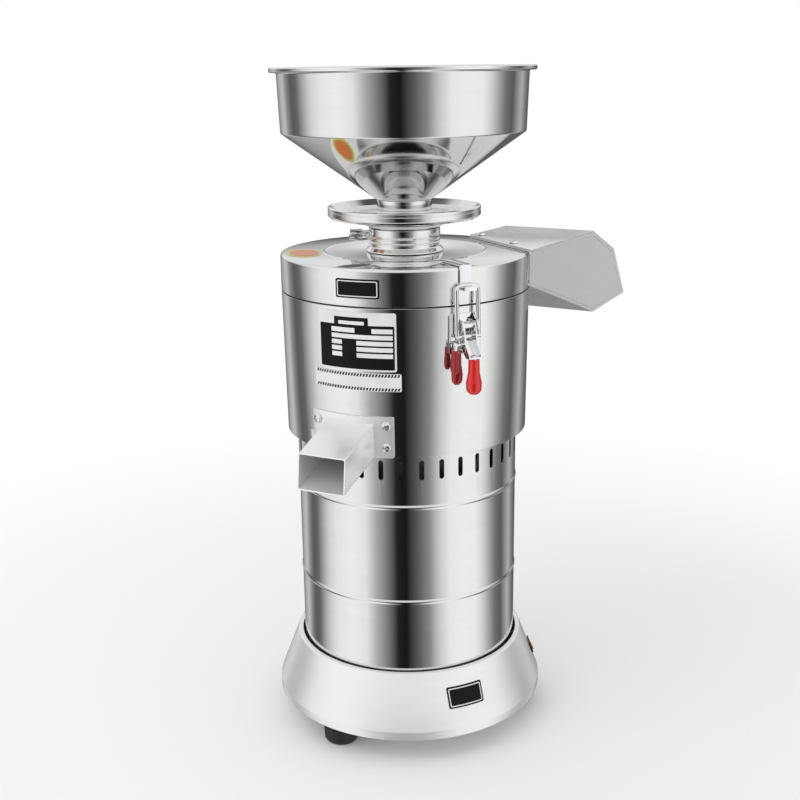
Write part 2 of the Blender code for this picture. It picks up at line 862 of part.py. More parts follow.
def make_motor():
    turned(
        "motor_top_bell",
        [
            (bell_bore, bell_flange_top),
            (bell_flange_radius, bell_flange_top),
            (bell_flange_radius, bell_flange_bottom),
            (bell_radius, bell_flange_bottom),
            (bell_radius, upper_bell_bottom),
            (bell_inner, upper_bell_bottom),
            (bell_inner, upper_bell_floor),
            (bell_collar, upper_bell_floor),
            (bell_collar, upper_bearing_top - bearing_width),
            (bell_pocket, upper_bearing_top - bearing_width),
            (bell_pocket, upper_bell_floor),
            (bell_bore, upper_bell_floor),
        ],
        medium_segments,
        "cast_aluminium",
    )
    turned(
        "motor_bottom_bell",
        [
            (bell_inner, lower_bell_top),
            (bell_radius, lower_bell_top),
            (bell_radius, lower_bell_bottom),
            (bell_bore, lower_bell_bottom),
            (bell_bore, lower_pocket_floor),
            (bell_pocket, lower_pocket_floor),
            (bell_pocket, lower_bearing_bottom + bearing_width),
            (bell_collar, lower_bearing_bottom + bearing_width),
            (bell_collar, lower_bell_bottom + bell_end_wall),
            (bell_inner, lower_bell_bottom + bell_end_wall),
        ],
        medium_segments,
        "cast_aluminium",
    )
    core_top = stator_middle_height + stator_height / 2
    core_bottom = stator_middle_height - stator_height / 2
    inner, outer = stator_bore + winding_inset, stator_radius - winding_inset
    turned(
        "stator",
        [
            (inner, core_top + winding_height),
            (outer, core_top + winding_height),
            (stator_radius, core_top),
            (stator_radius, core_bottom),
            (outer, core_bottom - winding_height),
            (inner, core_bottom - winding_height),
            (stator_bore, core_bottom),
            (stator_bore, core_top),
        ],
        medium_segments,
        "copper_winding",
    )
    shaft_bore = running(shaft_radius, medium_segments)
    for name, bottom in (
        ("upper_bearing", upper_bearing_top - bearing_width),
        ("lower_bearing", lower_bearing_bottom),
    ):
        turned(
            name,
            [
                (shaft_bore, bottom + bearing_width),
                (bearing_radius, bottom + bearing_width),
                (bearing_radius, bottom),
                (shaft_bore, bottom),
            ],
            medium_segments,
            "chrome",
        )
    turned(
        "motor_shaft",
        [
            (0, stone_top + gap + nut_height + thread_end),
            (shaft_step_radius, stone_top + gap + nut_height + thread_end),
            (shaft_step_radius, shaft_shoulder),
            (shaft_radius, shaft_shoulder),
            (shaft_radius, shaft_foot_height),
            (0, shaft_foot_height),
        ],
        medium_segments,
        "chrome",
    )
    turned(
        "rotor_core",
        [
            (shaft_bore, core_top),
            (rotor_radius, core_top),
            (rotor_radius, core_bottom),
            (shaft_bore, core_bottom),
        ],
        medium_segments,
        "iron_core",
    )

    fan_bottom = shaft_foot_height + fan_sheet
    fan = turned(
        "cooling_fan",
        [
            (shaft_bore, fan_bottom + fan_height),
            (fan_hub_radius, fan_bottom + fan_height),
            (fan_hub_radius, fan_bottom + fan_sheet),
            (fan_radius, fan_bottom + fan_sheet),
            (fan_radius, fan_bottom),
            (shaft_bore, fan_bottom),
        ],
        medium_segments,
        "black_plastic",
    )
    for number in range(fan_blade_count):
        place = frame(f"fan_blade_place_{number}", (number + 1 / 2) * 360 / fan_blade_count)
        blade = box(
            f"fan_blade_{number}",
            (-fan_sheet / 2, -fan_radius + fan_sheet, fan_bottom + fan_sheet / 2),
            (fan_sheet / 2, -fan_hub_radius + fan_sheet, fan_bottom + fan_height - fan_sheet),
            None,
            place,
        )
        combine(fan, blade, "UNION")

    place = frame("capacitor_place", capacitor_azimuth)
    foot = (0, -capacitor_circle_radius, plate_top + gap)
    head = (0, -capacitor_circle_radius, plate_top + gap + capacitor_height)
    cylinder("capacitor", foot, head, capacitor_radius, small_segments, "satin_steel", place)


# Grinding set: hub, basket and lower stone turn; the upper stone hangs on the feed tube


def make_grinding_set():
    slinger_bottom = boss_top - slinger_drop
    slinger_top = hub_bottom + slinger_shoulder
    slinger_inner = slinger_radius - slinger_wall
    shaft_bore = running(shaft_radius, medium_segments)
    step_bore = running(shaft_step_radius, medium_segments)
    turned(
        "basket_hub",
        [
            (shaft_bore, hub_top),
            (hub_flange_radius, hub_top),
            (hub_flange_radius, hub_top - hub_flange_height),
            (hub_radius, hub_top - 2 * hub_flange_height),
            (hub_radius, slinger_top),
            (slinger_radius, slinger_top),
            (slinger_radius, slinger_bottom),
            (slinger_inner, slinger_bottom),
            (slinger_inner, hub_bottom),
            (shaft_bore, hub_bottom),
        ],
        medium_segments,
        "satin_steel",
    )
    shoulder = basket_bottom + basket_shoulder_height
    lip = shoulder + basket_lip_height
    turned(
        "filter_basket",
        [
            (basket_lip_radius - basket_sheet, lip),
            (basket_lip_radius, lip),
            (basket_shoulder_radius, shoulder),
            (basket_floor_radius, basket_bottom),
            (step_bore, basket_bottom),
            (step_bore, basket_bottom + basket_sheet),
            (basket_floor_radius - basket_sheet / 2, basket_bottom + basket_sheet),
            (basket_shoulder_radius - 3 * basket_sheet / 2, shoulder + basket_sheet / 2),
        ],
        large_segments,
        "satin_steel",
    )
    turned(
        "lower_stone",
        [
            (step_bore, stone_top),
            (stone_radius, stone_top),
            (stone_radius, stone_bottom),
            (step_bore, stone_bottom),
        ],
        medium_segments,
        "emery",
    )
    nut_bottom = stone_top + gap
    nut_top = nut_bottom + nut_height
    nut = cylinder("stone_nut", (0, 0, nut_bottom), (0, 0, nut_top), nut_radius, 6, "brass")
    low, high = (0, 0, nut_bottom - overrun), (0, 0, nut_top + overrun)
    thread = cylinder("nut_bore", low, high, step_bore, medium_segments)
    combine(nut, thread)
    face_radius = stone_radius - stone_face_width
    turned(
        "upper_stone",
        [
            (stone_eye_radius, upper_stone_top),
            (stone_radius, upper_stone_top),
            (stone_radius, upper_stone_bottom),
            (face_radius, upper_stone_bottom),
            (stone_eye_radius, upper_stone_bottom + stone_mouth_height),
        ],
        medium_segments,
        "emery",
    )
    holder_bore = feed_radius + gap
    holder_radius = stone_radius + gap + holder_wall
    holder_eye = feed_radius - feed_wall - holder_wall
    turned(
        "stone_holder",
        [
            (holder_bore, holder_top),
            (holder_radius, holder_top),
            (holder_radius, upper_stone_top - holder_grip),
            (stone_radius + gap, upper_stone_top - holder_grip),
            (stone_radius + gap, holder_bottom),
            (holder_eye, holder_bottom),
            (holder_eye, holder_bottom + holder_ledge),
            (holder_bore, holder_bottom + holder_ledge),
        ],
        medium_segments,
        "satin_steel",
    )
    cup_inner = cup_radius - sheet
    turned(
        "feed_tube",
        [
            (cup_inner, cup_top),
            (cup_radius, cup_top),
            (cup_radius, cup_bottom),
            (feed_radius, cup_bottom),
            (feed_radius, feed_bottom),
            (feed_radius - feed_wall, feed_bottom),
            (feed_radius - feed_wall, cup_bottom + cup_floor),
            (cup_inner, cup_bottom + cup_floor),
        ],
        medium_segments,
        "polished_steel",
    )


# Cover, neck, handwheel, lock bolt and hopper


def make_cover():
    gasket_top = gasket_bottom + gasket_height
    gasket_outer = drum_top_radius - sheet / 8
    turned(
        "cover_gasket",
        [
            (gasket_outer - gasket_width, gasket_top),
            (gasket_outer, gasket_top),
            (gasket_outer, gasket_bottom),
            (gasket_outer - gasket_width, gasket_bottom),
        ],
        large_segments,
        "black_rubber",
    )
    sleeve_bore = running(wheel_sleeve_radius, medium_segments)
    spigot_radius = sleeve_bore + neck_spigot_wall
    cover_bore = spigot_radius + gap
    ring_outer = step_ring_radius + step_ring_width / 2
    ring_inner = step_ring_radius - step_ring_width / 2
    cover = turned(
        "cover",
        [
            (cover_bore, cover_top),
            (ring_inner, cover_top),
            (step_ring_radius, cover_top + step_ring_proud),
            (ring_outer, cover_top),
            (drum_top_radius, cover_top),
            (drum_top_radius, cover_bottom),
            (drum_top_radius - sheet, cover_bottom),
            (drum_top_radius - sheet, cover_top - sheet),
            (cover_bore, cover_top - sheet),
        ],
        large_segments,
        "polished_steel",
    )
    neck = turned("neck", neck_profile(sleeve_bore, spigot_radius), medium_segments, "polished_steel")

    place = frame("lock_place", lock_azimuth)
    height = neck_bottom + lock_height
    bolt_bore = running(lock_radius, small_segments)
    start, end = (0, 0, height), (0, -neck_foot_radius, height)
    hole = cylinder("lock_hole", start, end, bolt_bore, small_segments, None, place)
    combine(neck, hole)
    slug_start = wheel_sleeve_radius + gap
    slug_end = slug_start + lock_slug_length
    cylinder(
        "lock_slug",
        (0, -slug_start, height),
        (0, -slug_end, height),
        lock_radius,
        small_segments,
        "brass",
        place,
    )
    stem_start = slug_end + gap
    head_start = neck_radius + lock_stem_reach
    bolt = cylinder(
        "lock_bolt",
        (0, -head_start, height),
        (0, -head_start - lock_head_length, height),
        lock_head_radius,
        small_segments,
        "chrome",
        place,
    )
    stem = cylinder(
        "lock_stem",
        (0, -stem_start, height),
        (0, -head_start - lock_head_radius, height),
        lock_radius,
        small_segments,
        None,
        place,
    )
    combine(bolt, stem, "UNION")
    return cover


def neck_profile(bore, spigot_radius):
    grooves = []
    for height in reversed(neck_groove_heights):
        level = neck_bottom + height
        grooves += [
            (neck_radius, level + neck_groove_width / 2),
            (neck_radius - neck_groove_depth, level),
            (neck_radius, level - neck_groove_width / 2),
        ]
    return [
        (bore, neck_top),
        (neck_radius, neck_top),
        *grooves,
        (neck_radius, neck_bottom + neck_flare_height),
        (neck_foot_radius, neck_bottom),
        (spigot_radius, neck_bottom),
        (spigot_radius, neck_bottom - neck_spigot_depth),
        (bore, neck_bottom - neck_spigot_depth),
    ]


def make_handwheel():
    rim_top = wheel_bottom + wheel_under_height + wheel_rim_height
    rim_bottom = wheel_bottom + wheel_under_height
    groove = rim_top - wheel_rim_height / 3
    floor = wheel_bottom + wheel_floor_height
    bore = running(feed_radius, medium_segments)
    turned(
        "handwheel",
        [
            (wheel_radius - wheel_rim_width, rim_top),
            (wheel_radius, rim_top - wheel_groove),
            (wheel_radius, groove + wheel_groove),
            (wheel_radius - wheel_groove, groove),
            (wheel_radius, groove - wheel_groove),
            (wheel_under_radius, rim_bottom),
            (wheel_flare_radius, wheel_bottom + wheel_flare_height),
            (neck_radius, wheel_bottom),
            (wheel_sleeve_radius, wheel_bottom),
            (wheel_sleeve_radius, wheel_bottom - wheel_sleeve_depth),
            (bore, wheel_bottom - wheel_sleeve_depth),
            (bore, floor),
            (wheel_bowl_radius - wheel_rim_height, floor),
            (wheel_bowl_radius, floor + wheel_bowl_rise),
        ],
        large_segments,
        "polished_steel",
    )


def make_hopper():
    spigot = cup_radius - sheet - gap
    low, high = hopper_low_radius, hopper_high_radius
    inner_top = hopper_flange + sheet
    turned(
        "hopper",
        [
            (high - sheet, hopper_top - hopper_rim_crown),
            (high + sheet, hopper_top),
            (hopper_rim_radius - sheet, hopper_top),
            (hopper_rim_radius, hopper_top - hopper_rim_crown),
            (hopper_rim_radius, hopper_flange),
            (high, hopper_flange - hopper_rim_crown),
            (low, hopper_shoulder),
            (cup_radius, hopper_bottom),
            (spigot, hopper_bottom),
            (spigot, hopper_bottom - hopper_spigot_depth),
            (spigot - sheet, hopper_bottom - hopper_spigot_depth),
            (spigot - sheet, hopper_bottom),
            (low - sheet, hopper_shoulder + sheet),
            (high - sheet, inner_top),
        ],
        large_segments,
        "polished_steel",
    )


# Residue chute beside the cover


def make_chute(cover):
    place = frame("chute_place", chute_azimuth)
    near, far = -chute_near_face, chute_width - chute_near_face
    flange_top = neck_bottom + sheet
    plate_bottom = flange_top + gap
    bend_up = plate_bottom + sheet

    def side(top_inset, edge_inset, floor_inset):
        return [
            (chute_start, bend_up - top_inset),
            (chute_bend_reach - top_inset / 2, bend_up - top_inset),
            (chute_knee_reach - edge_inset, chute_knee_height - edge_inset / 2),
            (chute_tip_reach - edge_inset, chute_tip_height),
            (chute_heel_reach, chute_heel_height + floor_inset),
            (chute_start, chute_floor_height + floor_inset),
        ]

    inset = sheet + gap
    walls = prism("chute_box", side(inset, inset, 0), near, far, "X", "satin_steel", place)
    hollow = side(0, 0, sheet)
    hollow[0] = (hollow[0][0], bend_up + overrun)
    hollow[1] = (hollow[1][0] + overrun, bend_up + overrun)
    hollow[2] = (chute_tip_reach + overrun, chute_knee_height + overrun)
    hollow[3] = (chute_tip_reach + overrun, chute_tip_height - overrun)
    hollow[4] = (chute_heel_reach, chute_heel_height + sheet)
    combine(walls, prism("chute_hollow", hollow, near + sheet, far - sheet, "X", None, place))
    seat = [
        (chute_corner_reach, far),
        (chute_start, near),
        (drum_top_radius, near),
        (drum_top_radius, far),
    ]
    seat = [(x, out) for out, x in seat]
    seat_plate = prism("chute_seat", seat, neck_bottom, flange_top, "Z", None, place)
    reach = drum_top_radius + chute_seat_width
    low, high = (0, 0, neck_bottom - overrun), (0, 0, flange_top + overrun)
    seat_edge = cylinder("chute_seat_edge", low, high, reach, large_segments)
    combine(seat_plate, seat_edge, "INTERSECT")
    body_cut = cylinder(
        "chute_body_cut",
        (0, 0, chute_heel_height - overrun),
        (0, 0, neck_bottom - gap / 2),
        drum_top_radius + gap,
        large_segments,
    )
    above_cut = cylinder(
        "chute_above_cut",
        (0, 0, neck_bottom - gap),
        (0, 0, bend_up + overrun),
        drum_top_radius - overrun,
        large_segments,
    )
    combine(walls, body_cut)
    combine(walls, above_cut)
    combine(walls, seat_plate, "UNION")

    top = side(0, 0, 0)[:4]
    under = [
        (chute_tip_reach - sheet, chute_tip_height),
        (chute_knee_reach - sheet, chute_knee_height - sheet / 2),
        (chute_bend_reach - sheet / 2, bend_up - sheet),
        (chute_start, bend_up - sheet),
    ]
    lid = prism("chute_top", top + under, near, far, "X", "satin_steel", place)
    corner = [
        (far + overrun, chute_start - overrun),
        (far + overrun, chute_corner_reach),
        (far, chute_corner_reach),
        (near, chute_start),
        (near, chute_start - overrun),
    ]
    corner_cut = prism("chute_corner", corner, plate_bottom - overrun, bend_up + overrun, "Z", None, place)
    combine(lid, corner_cut)

    window = box(
        "chute_window",
        (near + 2 * sheet, -reach, cover_bottom + chute_window_sill),
        (far - 2 * sheet, -chute_start, cover_top - 2 * sheet),
        None,
        place,
    )
    combine(cover, window)

    for number, (radius, azimuth) in enumerate(chute_screw_places, 1):
        spot = frame(f"chute_screw_place_{number}", azimuth)
        face = bend_up + gap
        screw = cylinder(
            f"chute_screw_{number}",
            (0, -radius, face),
            (0, -radius, face + screw_head_height),
            screw_head_radius,
            small_segments,
            "chrome",
            spot,
            screw_head_radius - screw_head_height / 2,
        )
        low = cover_top - sheet - screw_reach
        shank = cylinder(
            f"chute_shank_{number}",
            (0, -radius, low),
            (0, -radius, face + screw_head_height / 2),
            chute_screw_radius,
            tiny_segments,
            None,
            spot,
        )
        combine(screw, shank, "UNION")
        hole = cylinder(
            f"chute_hole_{number}",
            (0, -radius, low),
            (0, -radius, face + overrun),
            running(chute_screw_radius, tiny_segments),
            tiny_segments,
            None,
            spot,
        )
        for piece in (walls, lid, cover):
            combine(piece, hole)


# Latches: each handle swings on its base and pulls the link down on the cover's keeper


def make_latch(number, azimuth):
    side = frame(f"latch_place_{number}", azimuth)
    wall = drum_top_radius + gap
    bar_height = latch_pivot_height - latch_throw + latch_link_length
    trough = bar_height - wire_radius - gap
    lip_inner = latch_bar_radius + wire_radius + keeper_trough
    strap_top = neck_bottom + keeper_sheet
    strap_face = wall + keeper_sheet
    prism(
        f"keeper_{number}",
        [
            (keeper_start_radius, neck_bottom),
            (wall, neck_bottom),
            (wall, trough - keeper_sheet),
            (lip_inner + keeper_sheet, trough - keeper_sheet),
            (lip_inner + keeper_sheet, trough + keeper_lip),
            (lip_inner, trough + keeper_lip),
            (lip_inner, trough),
            (strap_face, trough),
            (strap_face, strap_top),
            (keeper_start_radius, strap_top),
        ],
        -keeper_width / 2,
        keeper_width / 2,
        "X",
        "satin_steel",
        side,
    )

    pivot_out, pivot_up = latch_pivot_radius, latch_pivot_height
    back = wall + sheet
    base = prism(
        f"latch_base_{number}",
        [
            (wall, base_bottom_height),
            (back, base_bottom_height),
            (back, base_top_height),
            (wall, base_top_height),
        ],
        -base_half_width,
        base_half_width,
        "X",
        "chrome",
        side,
    )
    crown = 5 * pin_radius / 2
    ear = [
        (back - sheet / 2, base_bottom_height),
        (back + sheet / 2, base_bottom_height),
        (pivot_out - pin_radius - sheet, pivot_up - latch_throw + pin_radius),
        *arc((pivot_out, pivot_up), crown, -90, 90, 6),
        (back + sheet / 2, base_top_height),
        (back - sheet / 2, base_top_height),
    ]
    ear_inner = handle_half_width + ear_clearance
    ear_outer = ear_inner + ear_sheet
    for name, low, high in (("left", -ear_outer, -ear_inner), ("right", ear_inner, ear_outer)):
        combine(base, prism(f"ear_{name}_{number}", ear, low, high, "X", None, side), "UNION")
    pin = cylinder(
        f"pin_{number}",
        (-ear_outer + gap, -pivot_out, pivot_up),
        (ear_outer - gap, -pivot_out, pivot_up),
        pin_radius,
        small_segments,
        None,
        side,
    )
    combine(base, pin, "UNION")

    handle_axis = frame(f"handle_pivot_{number}", 0, pivot_out, pivot_up, parent=side)
    turn_clear = pivot_out - back - ear_clearance
    drop = handle_shoulder_height - pivot_up
    tang_out = handle_reach_radius - pivot_out
    tang_half = handle_tang_radius + gap
    handle = prism(
        f"latch_handle_{number}",
        [
            *arc((0, 0), turn_clear, 30, 200, 6),
            (-latch_throw / 3, -4 * latch_throw / 3),
            (latch_throw / 4, drop + latch_throw / 2),
            (tang_out - tang_half, drop),
            (tang_out + tang_half, drop),
            (tang_out + tang_half, drop + latch_throw / 3),
            (3 * latch_throw / 4, -5 * latch_throw / 3),
            (latch_throw / 2, -latch_throw / 2),
        ],
        -handle_half_width,
        handle_half_width,
        "X",
        "chrome",
        handle_axis,
    )
    tang_end = grip_bottom_height + grip_end - pivot_up
    tang = cylinder(
        f"tang_{number}",
        (0, -tang_out, tang_end + gap),
        (0, -tang_out, drop + handle_tang_radius),
        handle_tang_radius,
        tiny_segments,
        None,
        handle_axis,
    )
    combine(handle, tang, "UNION")
    half = handle_half_width + overrun
    for name, drop_to, radius in (("pin", 0, pin_radius), ("link", -latch_throw, wire_radius)):
        bore = cylinder(
            f"{name}_bore_{number}",
            (-half, 0, drop_to),
            (half, 0, drop_to),
            running(radius, small_segments),
            small_segments,
            None,
            handle_axis,
        )
        combine(handle, bore)
    stub_end = lock_lever_offset + lock_lever_sheet
    stub = cylinder(
        f"lock_pin_{number}",
        (-stub_end - gap, -lock_pin_out, -lock_pin_drop),
        (0, -lock_pin_out, -lock_pin_drop),
        lock_pin_radius,
        small_segments,
        None,
        handle_axis,
    )
    combine(handle, stub, "UNION")

    grip_top = grip_top_height - pivot_up
    grip_bottom = grip_bottom_height - pivot_up
    bulb = grip_bulb_height - pivot_up
    tang_bore = running(handle_tang_radius, tiny_segments)
    turned(
        f"latch_grip_{number}",
        [
            (tang_bore, grip_top),
            (grip_neck_radius, grip_top),
            (grip_neck_radius + sheet / 2, (grip_top + bulb) / 2),
            (grip_bulb_radius, bulb),
            (grip_bulb_radius - sheet, grip_bottom + grip_end / 2),
            (grip_bulb_radius / 2, grip_bottom),
            (0, grip_bottom),
            (0, tang_end),
            (tang_bore, tang_end),
        ],
        small_segments,
        "red_plastic",
        handle_axis,
        axis=Matrix.Translation((0, -tang_out, 0)),
    )

    link_axis = frame(f"link_pivot_{number}", 0, 0, -latch_throw, parent=handle_axis)
    leg = link_width / 2 - wire_radius
    lean = latch_bar_radius - pivot_out
    upright = latch_link_length
    path = [(-leg, 0, 0)]
    corner = (link_corner - leg, upright - link_corner)
    path += [(x, -lean, z) for x, z in arc(corner, link_corner, 180, 90, 3)]
    path += [(x, -lean, z) for x, z in arc((leg - link_corner, upright - link_corner), link_corner, 90, 0, 3)]
    path += [(leg, 0, 0)]
    pull = rod(f"pull_link_{number}", path, wire_radius, "chrome", link_axis)
    cross = cylinder(
        f"link_pin_{number}",
        (-link_width / 2 + gap, 0, 0),
        (link_width / 2 - gap, 0, 0),
        wire_radius,
        small_segments,
        None,
        link_axis,
    )
    combine(pull, cross, "UNION")

    lever_axis = frame(f"lever_pivot_{number}", 0, lock_pin_out, -lock_pin_drop, parent=handle_axis)
    level = pivot_up - lock_pin_drop
    lever_bore = running(lock_pin_radius, small_segments)
    lever = prism(
        f"lock_lever_{number}",
        [
            *arc((0, 0), lock_lever_half_width + gap, 0, 180, 6),
            (-lock_lever_half_width + sheet / 2, lock_grip_bottom_height + 2 * lock_grip_wall - level),
            (lock_lever_half_width - sheet / 2, lock_grip_bottom_height + 2 * lock_grip_wall - level),
        ],
        -lock_lever_offset - lock_lever_sheet,
        -lock_lever_offset,
        "X",
        "chrome",
        lever_axis,
    )
    eye = cylinder(
        f"lever_bore_{number}",
        (-stub_end - overrun, 0, 0),
        (-lock_lever_offset + overrun, 0, 0),
        lever_bore,
        small_segments,
        None,
        lever_axis,
    )
    combine(lever, eye)
    middle = -lock_lever_offset - lock_lever_sheet / 2
    grip_half = lock_lever_half_width + gap + lock_grip_wall - sheet / 2
    grip_low = lock_grip_bottom_height - level
    grip_high = lock_grip_top_height - level
    lock_grip = prism(
        f"lock_grip_{number}",
        [
            (-grip_half, grip_high),
            (-grip_half, grip_low + lock_grip_wall),
            (-grip_half + lock_grip_wall, grip_low),
            (grip_half - lock_grip_wall, grip_low),
            (grip_half, grip_low + lock_grip_wall),
            (grip_half, grip_high),
        ],
        middle - lock_grip_half_width,
        middle + lock_grip_half_width,
        "X",
        "dark_red_plastic",
        lever_axis,
    )
    slot_half = lock_lever_sheet / 2 + gap
    slot_depth = lock_grip_bottom_height + 2 * lock_grip_wall - level - gap
    slot = box(
        f"lock_grip_slot_{number}",
        (middle - slot_half, -lock_lever_half_width - gap, slot_depth),
        (middle + slot_half, lock_lever_half_width + gap, grip_high + overrun),
        None,
        lever_axis,
    )
    combine(lock_grip, slot)


# Plates, switch and cable gland


def make_fittings():
    badge_top = badge_bottom_height + badge_height
    label_top = label_bottom_height + label_height
    thick, look = plate_label_sheet, "black_plate"
    drum_patch("top_badge", badge_width, badge_bottom_height, badge_top, thick, badge_azimuth, look)
    drum_patch("data_plate", label_width, label_bottom_height, label_top, thick, label_azimuth, look)

    skirt = bpy.data.objects["base_skirt"]
    side = frame("switch_place", switch_azimuth, skirt_radius(switch_height), switch_height, skirt_lean)
    body_half = switch_half_length - switch_body_inset
    body_tall = switch_half_tall - switch_body_inset
    housing = box(
        "switch_housing",
        (-switch_half_length, -switch_proud, -switch_half_tall),
        (switch_half_length, -gap, switch_half_tall),
        "black_plastic",
        side,
    )
    body = box(
        "switch_body",
        (-body_half, -switch_proud / 2, -body_tall),
        (body_half, switch_body_depth, body_tall),
        None,
        side,
    )
    combine(housing, body, "UNION")
    well = box(
        "switch_well",
        (-switch_well_half_length, -switch_proud - overrun, -switch_well_half_tall),
        (switch_well_half_length, switch_well_depth, switch_well_half_tall),
        None,
        side,
    )
    combine(housing, well)
    hole = box(
        "switch_hole",
        (-body_half - gap, -overrun, -body_tall - gap),
        (body_half + gap, switch_body_depth, body_tall + gap),
        None,
        side,
    )
    combine(skirt, hole)
    pin = cylinder(
        "rocker_pin",
        (0, rocker_pivot_depth - switch_proud, -switch_well_half_tall - gap),
        (0, rocker_pivot_depth - switch_proud, switch_well_half_tall + gap),
        lock_pin_radius / 2,
        tiny_segments,
        None,
        side,
    )
    combine(housing, pin, "UNION")
    axis = frame("rocker_pivot", 0, switch_proud - rocker_pivot_depth, 0, parent=side)
    tilted = Matrix.Rotation(math.radians(-rocker_tilt), 2)
    outline = [
        (-rocker_half_length, rocker_end_height),
        (0, rocker_middle_height),
        (rocker_half_length, rocker_end_height),
        (rocker_half_length, 0),
        (rocker_half_length / 4, -rocker_heel),
        (-rocker_half_length / 4, -rocker_heel),
        (-rocker_half_length, 0),
    ]
    outline = [tuple(tilted @ Vector(point)) for point in outline]
    rocker = prism("switch_rocker", outline, -rocker_half_tall, rocker_half_tall, "Z", "red_plastic", axis)
    pivot_bore = cylinder(
        "rocker_bore",
        (0, 0, -rocker_half_tall - overrun),
        (0, 0, rocker_half_tall + overrun),
        running(lock_pin_radius / 2, tiny_segments),
        tiny_segments,
        None,
        axis,
    )
    combine(rocker, pivot_bore)

    place = frame("gland_place", gland_azimuth, skirt_radius(gland_height), gland_height, skirt_lean)
    outward = Matrix.Rotation(math.radians(90), 4, "X")
    rear = -sheet - gap - gland_radius * math.tan(math.pi / large_segments)
    turned(
        "cable_gland",
        [
            (gland_bore_radius, gland_flange + gap),
            (gland_radius, gland_flange + gap),
            (gland_radius, gap),
            (gland_neck_radius, gap),
            (gland_neck_radius, rear),
            (gland_radius, rear),
            (gland_radius, rear - gland_flange),
            (gland_bore_radius, rear - gland_flange),
        ],
        small_segments,
        "black_rubber",
        place,
        axis=outward,
    )
    gland_hole = cylinder(
        "gland_hole",
        (0, overrun, 0),
        (0, -overrun, 0),
        running(gland_neck_radius, small_segments),
        small_segments,
        None,
        place,
    )
    combine(skirt, gland_hole)


make_base()
make_housing()
make_drum()
make_motor()
make_grinding_set()
top_cover = make_cover()
make_handwheel()
make_hopper()
make_chute(top_cover)
for latch_number, latch_azimuth in enumerate(latch_azimuths, 1):
    make_latch(latch_number, latch_azimuth)
make_fittings()
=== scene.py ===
import json
import math

import bpy
from mathutils import Matrix, Vector


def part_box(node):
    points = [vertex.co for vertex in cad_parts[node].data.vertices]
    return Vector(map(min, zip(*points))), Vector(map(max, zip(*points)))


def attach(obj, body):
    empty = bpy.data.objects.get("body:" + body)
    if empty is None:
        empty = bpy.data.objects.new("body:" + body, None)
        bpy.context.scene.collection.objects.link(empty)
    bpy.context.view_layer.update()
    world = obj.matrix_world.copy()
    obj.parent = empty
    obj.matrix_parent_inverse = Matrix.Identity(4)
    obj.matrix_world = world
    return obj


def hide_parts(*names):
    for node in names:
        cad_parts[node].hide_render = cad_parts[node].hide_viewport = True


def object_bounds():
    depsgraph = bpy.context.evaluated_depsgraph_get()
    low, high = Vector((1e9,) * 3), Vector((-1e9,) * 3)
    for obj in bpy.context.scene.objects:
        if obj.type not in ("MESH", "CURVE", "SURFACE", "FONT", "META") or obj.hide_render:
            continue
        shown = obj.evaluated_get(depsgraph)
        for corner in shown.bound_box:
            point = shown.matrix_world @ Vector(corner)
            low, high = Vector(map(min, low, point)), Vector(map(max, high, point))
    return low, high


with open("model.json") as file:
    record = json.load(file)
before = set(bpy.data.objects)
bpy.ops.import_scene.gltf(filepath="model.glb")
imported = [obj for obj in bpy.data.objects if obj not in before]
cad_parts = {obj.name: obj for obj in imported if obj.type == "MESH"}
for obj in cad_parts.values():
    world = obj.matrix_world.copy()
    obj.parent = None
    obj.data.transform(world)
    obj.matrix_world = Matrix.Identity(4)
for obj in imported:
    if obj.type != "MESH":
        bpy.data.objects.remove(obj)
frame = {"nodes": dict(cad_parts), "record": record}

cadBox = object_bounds()
print("frame loaded")

# metres, +Z up; azimuths are degrees round the main axis, from the milk spout towards +X
shop = {
    "largeAround": 144,  # faces round the big shells
    "mediumAround": 96,
    "gripAround": 48,
    "cutterAround": 192,
    "smallAround": 40,
    "sheet": 0.0015,  # sheet steel of the shells
    "softEdge": 0.0004,
    "fineEdge": 0.0003,
    "tinyEdge": 0.0002,
    "hairEdge": 0.0001,
    "clear": 0.0003,  # between the drum and what lies on it
    "bendSteps": 4,
    "bendShare": 0.49,  # of a side, the most that a bend takes up
    "straight": 177,  # degrees from which a corner counts as none
    "weldWithin": 0.000004,
    "overrun": 0.005,  # how far a cut runs past the face it opens
    "noiseSpan": (0.3, 0.7),  # the part of a noise that is used
    "metalShade": 0.965,
    "plasticShade": 0.86,
    "coatRoughness": 0.06,
}


# shaping tools

def deselect():
    if bpy.context.mode != "OBJECT":
        bpy.ops.object.mode_set(mode="OBJECT")
    bpy.ops.object.select_all(action="DESELECT")


def only(piece):
    deselect()
    piece.select_set(True)
    bpy.context.view_layer.objects.active = piece
    return piece


def applied():  # the selected piece's place, turn and scale go into its mesh
    bpy.ops.object.transform_apply(location=True, rotation=True, scale=True)


def out(azimuth, radius, height=0.0):
    turn = math.radians(azimuth)
    return Vector((math.sin(turn) * radius, -math.cos(turn) * radius, height))


def settle(piece, azimuth=0.0, lift=(0, 0, 0), lean=0.0):  # local -Y comes to point outward at the azimuth
    only(piece)
    turn = Matrix.Rotation(math.radians(azimuth), 4, "Z")
    tip = Matrix.Rotation(math.radians(lean), 4, "X")
    piece.matrix_world = turn @ Matrix.Translation(lift) @ tip @ piece.matrix_world
    applied()
    return piece


def tidied(piece, angle=35):
    only(piece)
    bpy.ops.object.mode_set(mode="EDIT")
    bpy.ops.mesh.select_all(action="SELECT")
    bpy.ops.mesh.remove_doubles(threshold=shop["weldWithin"])
    bpy.ops.mesh.normals_make_consistent(inside=False)
    bpy.ops.object.mode_set(mode="OBJECT")
    bpy.ops.object.shade_smooth_by_angle(angle=math.radians(angle))
    return piece


